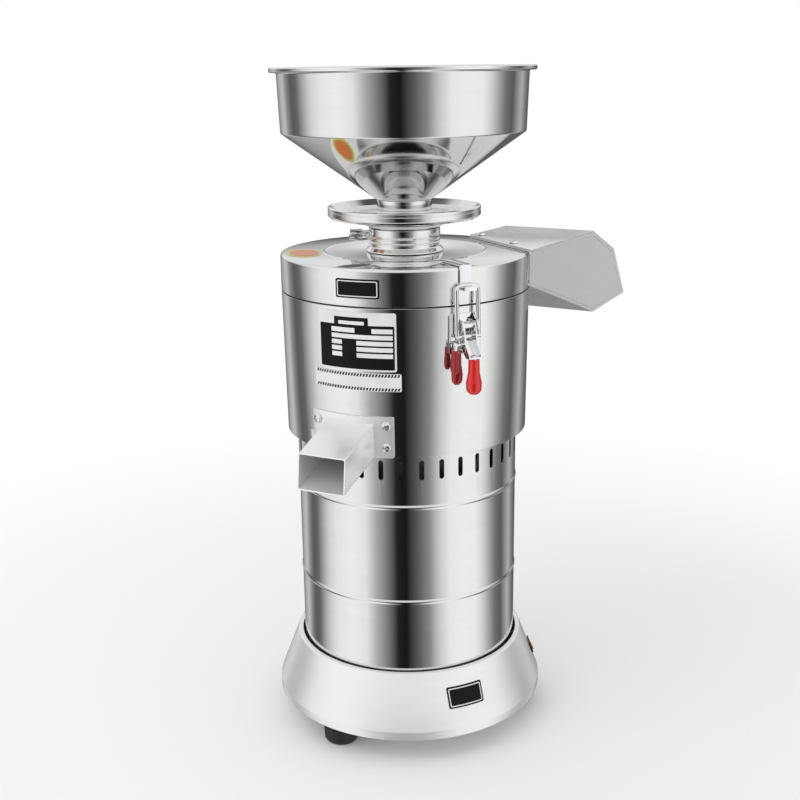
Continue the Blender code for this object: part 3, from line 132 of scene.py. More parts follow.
def modified(piece, kind, **settings):
    only(piece)
    step = piece.modifiers.new(kind.lower(), kind)
    for name, value in settings.items():
        setattr(step, name, value)
    bpy.ops.object.modifier_apply(modifier=step.name)
    return piece


def eased(piece, width):
    modified(piece, "BEVEL", width=width, segments=2, limit_method="ANGLE",
             angle_limit=math.radians(30), use_clamp_overlap=True)
    return tidied(piece, 50)


def bent(corners, ease, closed):
    # a corner (radius, height) gets the small edge, and (radius, height, bend) its own bend
    line = []
    for i, corner in enumerate(corners):
        here = Vector(corner[:2])
        bend = corner[2] if len(corner) > 2 else ease
        back = Vector(corners[i - 1][:2]) - here
        ahead = Vector(corners[(i + 1) % len(corners)][:2]) - here
        atEnd = not closed and i in (0, len(corners) - 1)
        if atEnd or bend <= 0 or here.x < bend or back.angle(ahead) > math.radians(shop["straight"]):
            line.append(tuple(here))
            continue
        longest = min(back.length, ahead.length) * shop["bendShare"]
        reach = min(bend / math.tan(back.angle(ahead) / 2), longest)
        start = here + back.normalized() * reach
        end = here + ahead.normalized() * reach
        for k in range(shop["bendSteps"] + 1):
            t = k / shop["bendSteps"]
            line.append(tuple(start * (1 - t) ** 2 + here * 2 * t * (1 - t) + end * t ** 2))
    return line


def traced(name, points):
    # one vertex, extruded along the points
    deselect()
    bpy.ops.mesh.primitive_plane_add(size=shop["sheet"], location=points[0])
    piece = bpy.context.object
    piece.name = name
    bpy.ops.object.mode_set(mode="EDIT")
    bpy.ops.mesh.select_mode(type="VERT")
    bpy.ops.mesh.select_all(action="SELECT")
    bpy.ops.mesh.merge(type="CENTER")
    for start, end in zip(points, points[1:]):
        step = Vector(end) - Vector(start)
        bpy.ops.mesh.extrude_region_move(TRANSFORM_OT_translate={"value": step})
    return piece


def spun(name, corners, around=shop["largeAround"], ease=shop["fineEdge"], closed=True):
    line = bent(corners, ease, closed)
    if closed:
        line.append(line[0])
    piece = traced(name, [out(0, radius, height) for radius, height in line])
    bpy.ops.mesh.select_all(action="SELECT")
    bpy.ops.mesh.spin(steps=around, angle=math.radians(360), center=(0, 0, 0), axis=(0, 0, 1))
    bpy.ops.object.mode_set(mode="OBJECT")
    applied()
    return tidied(piece)


def block(name, lowest, highest, ease=0.0):
    deselect()
    size = [b - a for a, b in zip(lowest, highest)]
    middle = [(a + b) / 2 for a, b in zip(lowest, highest)]
    bpy.ops.mesh.primitive_cube_add(size=1, location=middle, scale=size)
    piece = bpy.context.object
    piece.name = name
    applied()
    return eased(piece, ease) if ease else piece


def curved(name, points, closed, **settings):
    deselect()
    curve = bpy.data.curves.new(name, "CURVE")
    for setting, value in settings.items():
        setattr(curve, setting, value)
    spline = curve.splines.new("POLY")
    spline.points.add(len(points) - 1)
    for point, place in zip(spline.points, points):
        point.co = (*place, 1)
    spline.use_cyclic_u = closed
    piece = bpy.data.objects.new(name, curve)
    bpy.context.scene.collection.objects.link(piece)
    return piece


def plated(name, outline, lowest, highest, across, ease=shop["fineEdge"]):
    # across "X" takes points (out, up), and across "Z" takes points (x, out)
    flat = curved(name, [(*point, 0) for point in outline], True, dimensions="2D", fill_mode="BOTH",
                  extrude=(highest - lowest) / 2 - ease, bevel_depth=ease, bevel_resolution=2, offset=-ease)
    middle = (lowest + highest) / 2
    if across == "X":
        axes, centre = ((0, -1, 0), (0, 0, 1), (-1, 0, 0)), (middle, 0, 0)
    else:
        axes, centre = ((1, 0, 0), (0, -1, 0), (0, 0, -1)), (0, 0, middle)
    flat.matrix_world = Matrix.Translation(centre) @ Matrix(axes).transposed().to_4x4()
    only(flat)
    bpy.ops.object.convert(target="MESH")
    applied()
    return tidied(bpy.context.object)


def roundedOutline(left, right, bottom, top, bend, steps=5):
    line = []
    for x, y, start in ((right, top, 0), (left, top, 90), (left, bottom, 180), (right, bottom, 270)):
        inX = x - math.copysign(bend, x - (left + right) / 2)
        inY = y - math.copysign(bend, y - (bottom + top) / 2)
        for k in range(steps + 1):
            turn = math.radians(start + 90 * k / steps)
            line.append((inX + bend * math.cos(turn), inY + bend * math.sin(turn)))
    return line


def wired(name, path, radius):
    only(curved(name, path, False, dimensions="3D", bevel_depth=radius, bevel_resolution=5,
                use_fill_caps=True))
    bpy.ops.object.convert(target="MESH")
    return tidied(bpy.context.object, 50)


def rod(name, start, end, radius, ease=shop["softEdge"], around=None, endRadius=None):
    start, end = Vector(start), Vector(end)
    along = end - start
    deselect()
    bpy.ops.mesh.primitive_cone_add(vertices=around or shop["smallAround"], radius1=radius,
                                    radius2=radius if endRadius is None else endRadius,
                                    depth=along.length, location=(start + end) / 2,
                                    rotation=along.to_track_quat("Z", "Y").to_euler())
    piece = bpy.context.object
    piece.name = name
    applied()
    return eased(piece, ease) if ease else piece


def roundShape(name, bottom, top, radius, topRadius=None):  # round the main axis, for cutting
    return rod(name, (0, 0, bottom), (0, 0, top), radius, 0, shop["cutterAround"], topRadius)


def cut(piece, cutter, operation="DIFFERENCE"):
    modified(piece, "BOOLEAN", operation=operation, object=cutter, solver="EXACT")
    bpy.data.objects.remove(cutter, do_unlink=True)
    return piece


def joined(name, pieces):
    deselect()
    for piece in pieces:
        piece.select_set(True)
    bpy.context.view_layer.objects.active = pieces[0]
    if len(pieces) > 1:
        bpy.ops.object.join()
    bpy.context.object.name = name
    return bpy.context.object


def copied(piece, name):
    twin = piece.copy()
    twin.data = piece.data.copy()
    twin.name = name
    bpy.context.scene.collection.objects.link(twin)
    return twin


def wrapped(piece, azimuth, radiusAt, columns=24):
    # a flat piece, drawn in x and z with its back at y = 0, is laid round the axis
    only(piece)
    xs = [v.co.x for v in piece.data.vertices]
    left, right = min(xs), max(xs)
    bpy.ops.object.mode_set(mode="EDIT")
    for k in range(1, columns):
        bpy.ops.mesh.select_all(action="SELECT")
        place = left + (right - left) * k / columns
        bpy.ops.mesh.bisect(plane_co=(place, 0, 0), plane_no=(1, 0, 0))
    bpy.ops.object.mode_set(mode="OBJECT")
    for v in piece.data.vertices:
        radius = radiusAt(v.co.z)
        turn = azimuth + math.degrees(v.co.x / radius)
        v.co = out(turn, radius - v.co.y, v.co.z)
    return tidied(piece)


def upright(name, outline, thick, ease=shop["fineEdge"]):
    # the outline is in x and height, and its back stands at y = 0
    flat = plated(name, [(x, -height) for x, height in outline], 0, thick, "Z", ease)
    only(flat)
    flat.matrix_world = Matrix.Rotation(math.radians(90), 4, "X")
    applied()
    return tidied(flat)


slotOf = {part["node"]: part["material_slot"] for part in frame["record"]["subparts"]}
finishes = {}


def standing(piece, body, *nodes):  # in the finish of the CAD piece it stands for
    return dressed(piece, slotOf[nodes[0]], body, *nodes)


def turned(name, profile, body, node, ease=shop["fineEdge"]):
    return standing(spun(name, profile, ease=ease), body, node)


def dressed(piece, finish, body, *nodes, slot=None):
    piece.data.materials.clear()
    piece.data.materials.append(finishes[finish])
    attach(piece, body)
    if nodes:
        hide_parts(*nodes)
    return piece


# finishes

def newMaterial(name, metallic, roughness):
    material = bpy.data.materials.new(name)
    material.use_nodes = True
    shader = material.node_tree.nodes["Principled BSDF"]
    shader.inputs["Metallic"].default_value = metallic
    shader.inputs["Roughness"].default_value = roughness
    return material, shader


def added(tree, kind, values=None, **settings):  # a new node, its sockets given by name or number
    node = tree.nodes.new(kind)
    for setting, value in settings.items():
        setattr(node, setting, value)
    for socket, value in (values or {}).items():
        node.inputs[socket].default_value = value
    return node


def ranged(tree, span, lowest=0, highest=1, **settings):  # carries the span over onto lowest to highest
    values = {"From Min": span[0], "From Max": span[1], "To Min": lowest, "To Max": highest}
    return added(tree, "ShaderNodeMapRange", values, **settings)


def linked(tree, *links):
    for giver, output, taker, socket in links:
        tree.links.new(giver.outputs[output], taker.inputs[socket])


def patterned(material, kind, stretch, **values):
    # a texture on the piece's own Object coordinates, each axis stretched by its own amount
    tree = material.node_tree
    place = added(tree, "ShaderNodeTexCoord")
    mapping = added(tree, "ShaderNodeMapping", {"Scale": stretch})
    texture = added(tree, kind, values)
    linked(tree, (place, "Object", mapping, "Vector"), (mapping, "Vector", texture, "Vector"))
    return texture


def spread(material, texture, shaderInput, lowest, highest):
    tree = material.node_tree
    span = ranged(tree, shop["noiseSpan"], lowest, highest)
    linked(tree, (texture, "Fac", span, "Value"))
    tree.links.new(span.outputs["Result"], shaderInput)


def tinted(material, texture, shaderInput, *colours):
    tree = material.node_tree
    ramp = added(tree, "ShaderNodeValToRGB")
    for stop, position, colour in zip(ramp.color_ramp.elements, shop["noiseSpan"], colours):
        stop.position = position
        stop.color = (*colour, 1)
    linked(tree, (texture, "Fac", ramp, "Fac"))
    tree.links.new(ramp.outputs["Color"], shaderInput)


def bumped(material, shader, texture, height, before=None):
    tree = material.node_tree
    bump = added(tree, "ShaderNodeBump", {"Strength": 1, "Distance": height})
    linked(tree, (texture, "Fac", bump, "Height"), (bump, "Normal", shader, "Normal"))
    if before:
        linked(tree, (before, "Normal", bump, "Normal"))
    return bump


metals = {  # colour, roughness from and to, height of the surface's waves, grain height
    "polished_steel": ((0.80, 0.80, 0.795), (0.045, 0.085), 0.000035, 0.0),
    "satin_steel": ((0.88, 0.88, 0.875), (0.22, 0.28), 0.00001, 0.0000007),
    "chrome": ((0.84, 0.85, 0.86), (0.05, 0.10), 0.0, 0.0),
    "bearing_steel": ((0.66, 0.66, 0.67), (0.16, 0.28), 0.0, 0.0),
    "cast_aluminium": ((0.62, 0.63, 0.64), (0.38, 0.52), 0.0, 0.00003),
    "iron_core": ((0.24, 0.23, 0.22), (0.42, 0.60), 0.0, 0.00002),
    "windings": ((0.66, 0.30, 0.13), (0.30, 0.45), 0.0, 0.00004),
    "brass": ((0.78, 0.58, 0.27), (0.20, 0.35), 0.0, 0.0),
}
metalShare = {"satin_steel": 0.52}  # the fine brushing also scatters light
grainStretch = {
    "satin_steel": (6, 6, 900),
    "cast_aluminium": (260, 260, 260),
    "iron_core": (20, 20, 2000),
    "windings": (40, 40, 900),
}


def makeMetals():
    for name, (colour, roughness, wave, grain) in metals.items():
        material, shader = newMaterial(name, metalShare.get(name, 1), roughness[0])
        smudge = patterned(material, "ShaderNodeTexNoise", (9, 9, 6), Scale=1.6, Detail=5, Roughness=0.6)
        spread(material, smudge, shader.inputs["Roughness"], *roughness)
        dark = tuple(c * shop["metalShade"] for c in colour)
        tint = patterned(material, "ShaderNodeTexNoise", (5, 5, 40), Scale=2.2, Detail=3)
        tinted(material, tint, shader.inputs["Base Color"], dark, colour)
        first = None
        if wave:
            ripple = patterned(material, "ShaderNodeTexNoise", (7, 7, 3), Scale=1, Detail=1)
            first = bumped(material, shader, ripple, wave)
        if grain:
            lines = patterned(material, "ShaderNodeTexNoise", grainStretch[name], Scale=1, Detail=6)
            bumped(material, shader, lines, grain, first)
        finishes[name] = material


plastics = {  # colour, roughness from and to, height of the grain, size of the grain, coat
    "red_grip": ((0.68, 0.008, 0.008), (0.10, 0.18), 0.00002, 240, 0.5),
    "dark_red_grip": ((0.33, 0.010, 0.012), (0.22, 0.34), 0.00002, 240, 0.2),
    "red_rocker": ((0.60, 0.010, 0.008), (0.20, 0.28), 0.00001, 500, 0.2),
    "black_rubber": ((0.016, 0.016, 0.017), (0.55, 0.75), 0.00008, 700, 0.0),
    "black_plastic": ((0.014, 0.014, 0.015), (0.28, 0.42), 0.00004, 1100, 0.0),
    "black_plate": ((0.008, 0.008, 0.009), (0.45, 0.60), 0.00001, 900, 0.0),
    "emery_stone": ((0.34, 0.33, 0.31), (0.80, 0.95), 0.0004, 900, 0.0),
    "white_plate": ((0.83, 0.83, 0.82), (0.32, 0.45), 0.00001, 900, 0.1),
    "sticker_yellow": ((0.86, 0.60, 0.06), (0.25, 0.38), 0.00001, 900, 0.2),
    "sticker_orange": ((0.80, 0.20, 0.03), (0.25, 0.38), 0.00001, 900, 0.2),
    "sticker_green": ((0.16, 0.42, 0.10), (0.25, 0.38), 0.00001, 900, 0.2),
}
shine = {"black_plate": 0.12}  # a printed black, nearly without gloss


def makePlastics():
    for name, (colour, roughness, height, size, coat) in plastics.items():
        material, shader = newMaterial(name, 0, roughness[0])
        shader.inputs["Specular IOR Level"].default_value = shine.get(name, 0.5)
        shader.inputs["Coat Weight"].default_value = coat
        shader.inputs["Coat Roughness"].default_value = shop["coatRoughness"]
        grain = patterned(material, "ShaderNodeTexNoise", (1, 1, 1), Scale=size, Detail=3)
        bumped(material, shader, grain, height)
        wear = patterned(material, "ShaderNodeTexNoise", (1, 1, 1), Scale=38, Detail=4)
        spread(material, wear, shader.inputs["Roughness"], *roughness)
        dark = tuple(c * shop["plasticShade"] for c in colour)
        tinted(material, wear, shader.inputs["Base Color"], dark, colour)
        finishes[name] = material


makeMetals()
makePlastics()
for node, piece in frame["nodes"].items():
    piece.data.materials.clear()
    piece.data.materials.append(finishes[slotOf[node]])
print("finishes made")


# studio

studio = {
    "cameraPlace": (0.6269, -1.2853, 0.7747),
    "cameraAzimuth": 26.0,  # the heading from the axis to the camera
    "cameraPan": -0.33,
    "cameraPitch": 15.49,  # looking down
    "cameraRoll": -0.76,
    "lens": 53.16,
    "sensor": 36,
    "clipStart": 0.01,
    "floorHeight": cadBox[0][2],
    "floorRadius": 40.0,
    "floorRoughness": 0.9,
    "floorColour": (0.93, 0.93, 0.93, 1),
    "floorFade": (0.55, 1.3),  # where the floor goes over into the white backdrop
    "fill": 0.92,
    "ceiling": 1.0,
    "ceilingShare": 0.82,
    "ceilingFade": (0.03, 0.20),  # heights of a unit direction between which the soft ceiling sets in
    "lampPlace": (-0.9, -1.5, 2.2),
    "lampAim": (0, 0, 0.4),
    "lampSize": 1.4,
    "lampPower": 9,
    # what polished steel sees, by degrees from the camera's heading: soft boxes with dark flags between
    "boxesAndFlags": (
        (-180, 0.10), (-168, 0.16), (-158, 0.34), (-148, 0.52), (-140, 0.60), (-132, 0.30), (-122, 0.12),
        (-112, 0.16), (-102, 0.48), (-92, 0.80), (-80, 0.98), (-62, 1.06), (-46, 0.95), (-34, 0.50),
        (-22, 0.22), (-12, 0.02), (-2, 0.01), (10, 0.12), (22, 0.30), (32, 0.70), (44, 1.00), (58, 1.06),
        (76, 1.04), (86, 0.80), (96, 0.45), (106, 0.20), (118, 0.12), (126, 0.30), (136, 0.50), (146, 0.26),
        (158, 0.12), (170, 0.12),
    ),
}


def setCamera():
    turn = Matrix.Rotation(math.radians(studio["cameraAzimuth"]), 3, "Z")
    pan, pitch = math.radians(studio["cameraPan"]), math.radians(studio["cameraPitch"])
    roll = math.radians(studio["cameraRoll"])
    level = math.cos(pitch)
    forward = turn @ Vector((math.sin(pan) * level, math.cos(pan) * level, -math.sin(pitch)))
    right = turn @ Vector((math.cos(pan), -math.sin(pan), 0))
    up = right.cross(forward)
    across = right * math.cos(roll) + up * math.sin(roll)
    upward = up * math.cos(roll) - right * math.sin(roll)
    bpy.ops.object.camera_add(location=studio["cameraPlace"])
    camera = bpy.context.object
    axes = Matrix((across, upward, -forward)).transposed()
    camera.rotation_euler = axes.to_euler()
    camera.data.lens = studio["lens"]
    camera.data.sensor_width = studio["sensor"]
    camera.data.clip_start = studio["clipStart"]
    bpy.context.scene.camera = camera


def setWorld():
    world = bpy.context.scene.world or bpy.data.worlds.new("studio")
    bpy.context.scene.world = world
    world.use_nodes = True
    tree = world.node_tree
    tree.nodes.clear()
    place = added(tree, "ShaderNodeTexCoord")
    split = added(tree, "ShaderNodeSeparateXYZ")
    flip = added(tree, "ShaderNodeMath", {1: -1}, operation="MULTIPLY")
    heading = added(tree, "ShaderNodeMath", operation="ARCTAN2")
    cameraTurn = math.radians(studio["cameraAzimuth"])
    fromCamera = added(tree, "ShaderNodeMath", {1: cameraTurn}, operation="SUBTRACT")
    inTurns = added(tree, "ShaderNodeMath", {1: 2 * math.pi}, operation="DIVIDE")
    centred = added(tree, "ShaderNodeMath", {1: 0.5}, operation="ADD")
    looped = added(tree, "ShaderNodeMath", {1: 0, 2: 1}, operation="WRAP")
    ramp = added(tree, "ShaderNodeValToRGB")
    stops = ramp.color_ramp.elements
    pattern = studio["boxesAndFlags"]
    while len(stops) < len(pattern):
        stops.new(1)
    for stop, (degrees, level) in zip(stops, pattern):
        stop.position = degrees / 360 + 0.5
        stop.color = (level, level, level, 1)
    plain, white, ceiling, seen = (
        added(tree, "ShaderNodeBackground", {"Color": (1, 1, 1, 1), "Strength": strength})
        for strength in (studio["fill"], 1, studio["ceiling"], 1)
    )
    upward = ranged(tree, studio["ceilingFade"], 0, studio["ceilingShare"])
    reflected, forGloss, forGlass, forCamera = (added(tree, "ShaderNodeMixShader") for i in range(4))
    rays = added(tree, "ShaderNodeLightPath")
    result = added(tree, "ShaderNodeOutputWorld")
    linked(
        tree,
        (place, "Generated", split, 0), (split, "Y", flip, 0), (split, "X", heading, 0),
        (flip, 0, heading, 1), (heading, 0, fromCamera, 0), (fromCamera, 0, inTurns, 0),
        (inTurns, 0, centred, 0),
        (centred, 0, looped, 0), (looped, 0, ramp, "Fac"), (ramp, "Color", seen, "Color"),
        (split, "Z", upward, "Value"), (upward, "Result", reflected, "Fac"),
        (seen, 0, reflected, 1), (ceiling, 0, reflected, 2),
        (rays, "Is Glossy Ray", forGloss, "Fac"), (plain, 0, forGloss, 1), (reflected, 0, forGloss, 2),
        (rays, "Is Transmission Ray", forGlass, "Fac"), (forGloss, 0, forGlass, 1), (white, 0, forGlass, 2),
        (rays, "Is Camera Ray", forCamera, "Fac"), (forGlass, 0, forCamera, 1), (white, 0, forCamera, 2),
        (forCamera, 0, result, "Surface"),
    )


def setFloor():
    deselect()
    bpy.ops.mesh.primitive_circle_add(vertices=shop["mediumAround"], radius=studio["floorRadius"],
                                      fill_type="NGON", location=(0, 0, studio["floorHeight"]))
    floor = bpy.context.object
    floor.name = "studio_floor"
    applied()
    material, shader = newMaterial("studio_floor", 0, studio["floorRoughness"])
    shader.inputs["Base Color"].default_value = studio["floorColour"]
    tree = material.node_tree
    place = added(tree, "ShaderNodeTexCoord")
    away = added(tree, "ShaderNodeVectorMath", operation="LENGTH")
    fade = ranged(tree, studio["floorFade"], interpolation_type="SMOOTHSTEP")
    rays = added(tree, "ShaderNodeLightPath")
    seen = added(tree, "ShaderNodeMath", operation="MULTIPLY")
    white = added(tree, "ShaderNodeEmission")
    both = added(tree, "ShaderNodeMixShader")
    linked(
        tree,
        (place, "Object", away, 0), (away, "Value", fade, "Value"), (fade, "Result", seen, 0),
        (rays, "Is Camera Ray", seen, 1), (seen, 0, both, "Fac"), (shader, 0, both, 1), (white, 0, both, 2),
        (both, 0, tree.nodes["Material Output"], "Surface"),
    )
    floor.data.materials.append(material)
    floor.visible_glossy = False


def setLamp():
    deselect()
    place, aim = Vector(studio["lampPlace"]), Vector(studio["lampAim"])
    bpy.ops.object.light_add(type="AREA", location=place)
    soft = bpy.context.object
    soft.data.size = studio["lampSize"]
    soft.data.energy = studio["lampPower"]
    soft.visible_glossy = False
    soft.rotation_euler = (aim - place).to_track_quat("-Z", "Y").to_euler()


setCamera()
setWorld()
setFloor()
setLamp()
bpy.context.scene.view_settings.view_transform = "Standard"
print("studio set")


# base

skirt = {
    "footRadius": 0.1705,
    "rollHeight": 0.010,
    "profile": (
        (0.1690, 0), (0.1705, 0), (0.1705, 0.0100, 0.004), (0.1451, 0.0750, 0.0025), (0.1395, 0.0750),
        (0.1395, 0.0735), (0.1430, 0.0735, 0.0015), (0.1690, 0.0100, 0.003),
    ),
}


foot = {
    "azimuths": (-12, 108, 228),
    "ring": 0.140,
    "profile": (
        (0, -0.0003), (0.0225, -0.0003, 0.001), (0.0225, -0.0060, 0.001), (0.0210, -0.0072, 0.0006),
        (0.0210, -0.0090, 0.0006), (0.0222, -0.0102, 0.001), (0.0211, -0.0260, 0.002),
        (0.0185, -0.0303, 0.001), (0.0135, -0.0303), (0.0125, -0.0280), (0, -0.0280),
    ),
}


def makeFeet():
    model = spun("foot", foot["profile"], shop["gripAround"], shop["softEdge"], closed=False)
    for i, azimuth in enumerate(foot["azimuths"]):
        piece = copied(model, f"rubber_foot_{i + 1}")
        settle(piece, azimuth, (0, -foot["ring"], 0))
        standing(piece, "root", f"foot_{i + 1}")
    bpy.data.objects.remove(model, do_unlink=True)


turned("skirt", skirt["profile"], "root", "base_skirt")
makeFeet()
print("base made")


# motor housing

housing = {
    "radius": 0.1367,
    "bottom": 0.0023,
    "top": 0.3550,
    "footFlange": 0.0133,
    "footBend": 0.0015,
    "topFlange": 0.0132,
    "beads": (0.165, 0.285),
    "beadProud": 0.0010,
    "beadFoot": (0.0030, 0.0010),  # how far from the bead's middle, and the bend there
    "beadTop": (0.0008, 0.0008),
    "ventCount": 36,
    "ventPhase": 3,
    "ventMiddle": 0.331,
    "ventLength": 0.024,
    "ventWidth": 0.006,
    "ventSteps": 8,
    "ventRound": 0.999,  # share of half its width
}


def makeHousing():
    radius, bottom, top, sheet = housing["radius"], housing["bottom"], housing["top"], shop["sheet"]
    flange, lip = radius + housing["footFlange"], radius - housing["topFlange"]
    line = [(flange, bottom), (flange, bottom + sheet), (radius, bottom + sheet, housing["footBend"])]
    (wide, wideBend), (slim, slimBend) = housing["beadFoot"], housing["beadTop"]
    proud = radius + housing["beadProud"]
    for height in housing["beads"]:
        line += [(radius, height - wide, wideBend), (proud, height - slim, slimBend),
                 (proud, height + slim, slimBend), (radius, height + wide, wideBend)]
    inner = radius - sheet
    line += [(radius, top), (lip, top), (lip, top - sheet), (inner, top - sheet), (inner, bottom)]
    shell = spun("housing", line)
    slot = ventSlot()
    cutters = []
    for i in range(housing["ventCount"]):
        turn = housing["ventPhase"] + i * 360 / housing["ventCount"]
        cutters.append(settle(copied(slot, "vent"), turn))
    bpy.data.objects.remove(slot, do_unlink=True)
    cut(shell, joined("vents", cutters))
    standing(tidied(shell, 30), "root", "motor_housing")


def ventSlot():
    half, tall = housing["ventWidth"] / 2, housing["ventLength"] / 2
    radius = housing["radius"]
    outline = roundedOutline(-half, half, -tall, tall, half * housing["ventRound"], housing["ventSteps"])
    slot = plated("slot", outline, -shop["overrun"], shop["overrun"], "Z", 0)
    only(slot)
    slot.matrix_world = (Matrix.Translation((0, -radius, housing["ventMiddle"]))
                         @ Matrix.Rotation(math.radians(90), 4, "X"))
    applied()
    return tidied(slot)


makeHousing()
print("motor housing made")


# drum, cover and neck

drum = {
    "footRadius": 0.1484,
    "topRadius": 0.1505,
    "bottom": 0.3510,
    "top": 0.5235,
    "profile": (
        (0.1484, 0.3510), (0.1505, 0.5235), (0.1497, 0.5235), (0.1482, 0.5250, 0.001), (0.1482, 0.5360),
        (0.1467, 0.5360), (0.1467, 0.5250), (0.1390, 0.5250), (0.1390, 0.5235), (0.1472, 0.5230, 0.002),
        (0.1469, 0.3568, 0.002), (0.0335, 0.3568, 0.003), (0.0335, 0.3920, 0.002), (0.0160, 0.3920),
        (0.0160, 0.3905), (0.0320, 0.3905, 0.001), (0.0320, 0.3553, 0.002), (0.1469, 0.3553),
        (0.1469, 0.3510),
    ),
    "window": ((-0.0288, -0.1684, 0.3600), (0.0288, -0.1284, 0.3980)),
    "windowEdge": 0.002,
}


def makeDrum():
    shell = spun("drum", drum["profile"])
    cut(shell, block("window", *drum["window"], drum["windowEdge"]))
    standing(tidied(shell, 30), "root", "drum")


def drumRadius(height):
    rise = (height - drum["bottom"]) / (drum["top"] - drum["bottom"])
    return drum["footRadius"] + (drum["topRadius"] - drum["footRadius"]) * rise


def onDrum(lift):
    return lambda height: drumRadius(height) + shop["clear"] + lift


chute = {
    "azimuth": 175,
    "near": -0.148,  # the sides, across from the middle of the chute
    "far": -0.020,
    "top": ((0.043, 0.5712), (0.236, 0.5712), (0.312, 0.5380), (0.356, 0.4700)),
    "under": ((0.3545, 0.4700), (0.3105, 0.53725), (0.23525, 0.5697), (0.043, 0.5697)),
    "box": (
        (0.043, 0.5694), (0.2352, 0.5694), (0.3102, 0.5370), (0.3541, 0.4700), (0.242, 0.4620),
        (0.043, 0.5280),
    ),
    "lip": (0.265, 0.001),  # how far out the floor ends, and its rise there
    "room": (0.45, 0.40, 0.65),  # how far out, down and up the hollow is cut
    "frame": 0.0036,
    "groove": 0.0012,
    "grooveDepth": 0.0011,
    "grooveRun": 0.004,
    "panelRun": 0.002,
    "seat": (0.5679, 0.5694),
    "seatOutline": ((-0.020, 0.131), (-0.148, 0.043), (-0.148, 0.1505), (-0.020, 0.1505)),
    "seatRadius": 0.1565,
    "seatMargin": 0.01,
    "cornerReach": 0.060,
    "cornerBack": -0.2,
    "cornerHeights": (0.5, 0.6),
    "drumGap": (0.357, 0.5678, 0.1508),  # bottom, top and radius
    "coverGap": (0.5668, 0.6678, 0.1455),
    "screws": ((0.137, 160, 25), (0.135, 124, 55)),  # radius, azimuth, turn of the cross
    "screwHeight": 0.5715,
}


cover = {
    "top": 0.5676,
    "profile": (
        (0.1505, 0.5253), (0.1505, 0.5676, 0.0040), (0.0995, 0.5676, 0.0012), (0.0975, 0.5684, 0.0010),
        (0.0955, 0.5676, 0.0012), (0.0383, 0.5676), (0.0383, 0.5661), (0.1490, 0.5661, 0.0025),
        (0.1490, 0.5253),
    ),
    "windowSide": 0.003,
    "windowOut": (0.043, 0.1565),
    "window": (0.5293, 0.5646),
}


def makeCover():
    shell = spun("cover", cover["profile"])
    side, (first, last), (lowest, highest) = cover["windowSide"], cover["windowOut"], cover["window"]
    window = block("window", (chute["near"] + side, -last, lowest), (chute["far"] - side, -first, highest))
    cut(shell, settle(window, chute["azimuth"]))
    standing(tidied(shell, 30), "root", "cover")


gasket = {"profile": ((0.1485, 0.5238), (0.1503, 0.5238), (0.1503, 0.5250), (0.1485, 0.5250))}


neck = {
    "profile": (
        (0.0366, 0.5619), (0.0380, 0.5619), (0.0380, 0.5679), (0.0470, 0.5679), (0.0470, 0.5691, 0.0006),
        (0.0430, 0.5735, 0.003), (0.0430, 0.5772), (0.0422, 0.5772), (0.0422, 0.5792), (0.0430, 0.5792),
        (0.0430, 0.5827), (0.0422, 0.5827), (0.0422, 0.5847), (0.0430, 0.5847), (0.0430, 0.5953, 0.0008),
        (0.0366, 0.5953, 0.0008),
    ),
}
lockBolt = {
    "azimuth": -64,
    "height": 0.588,
    "radius": 0.0040,
    "hole": (0.0326, 0.0490),  # from the main axis outward
    "holeRadius": 0.0043,
    "slug": (0.0363, 0.0391),
    "stem": (0.0394, 0.0520),
    "head": 0.0510,
    "headLength": 0.0150,
    "headRadius": 0.0055,
    "teeth": 20,
    "toothDepth": 0.0005,
}


def alongBolt(name, span, radius, ease=shop["softEdge"]):
    start, end = (out(lockBolt["azimuth"], reach, lockBolt["height"]) for reach in lockBolt[span])
    return rod(name, start, end, radius, ease)


def makeNeck():
    piece = spun("neck", neck["profile"], ease=shop["tinyEdge"])
    cut(piece, alongBolt("bolt_hole", "hole", lockBolt["holeRadius"], 0))
    standing(tidied(piece, 30), "root", "neck")


def knurled(name, radius, depth, count, thick, ease):
    outline = []
    for k in range(count * 2):
        turn = math.pi * k / count
        reach = radius - (k % 2) * depth
        outline.append((reach * math.cos(turn), reach * math.sin(turn)))
    return upright(name, outline, thick, ease)


def makeLockBolt():
    radius = lockBolt["radius"]
    standing(alongBolt("slug", "slug", radius), "lock_slide", "lock_slug")
    stem = alongBolt("stem", "stem", radius)
    head = knurled("head", lockBolt["headRadius"], lockBolt["toothDepth"], lockBolt["teeth"],
                   lockBolt["headLength"], shop["tinyEdge"])
    settle(head, lockBolt["azimuth"], (0, -lockBolt["head"], lockBolt["height"]))
    standing(joined("lock_bolt_turned", [head, stem]), "lock_bolt", "lock_bolt")


makeDrum()
makeCover()
turned("gasket", gasket["profile"], "root", "cover_gasket", shop["tinyEdge"])
makeNeck()
makeLockBolt()
print("drum, cover and neck made")


# feed side: tube, handwheel and hopper

feedTube = {
    "bore": 0.0255,
    "radius": 0.0280,
    "footBend": 0.0008,
    "cup": (
        (0.0280, 0.6123), (0.0332, 0.6123, 0.0012), (0.0332, 0.6287, 0.0006), (0.0317, 0.6287),
        (0.0317, 0.6138, 0.0008), (0.0255, 0.6138, 0.0008),
    ),
}


def makeFeedTube():
    bottom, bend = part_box("feed_tube")[0][2], feedTube["footBend"]
    line = [(feedTube["bore"], bottom, bend), (feedTube["radius"], bottom, bend), *feedTube["cup"]]
    standing(spun("feed", line, shop["mediumAround"], shop["softEdge"]), "stone_carrier", "feed_tube")


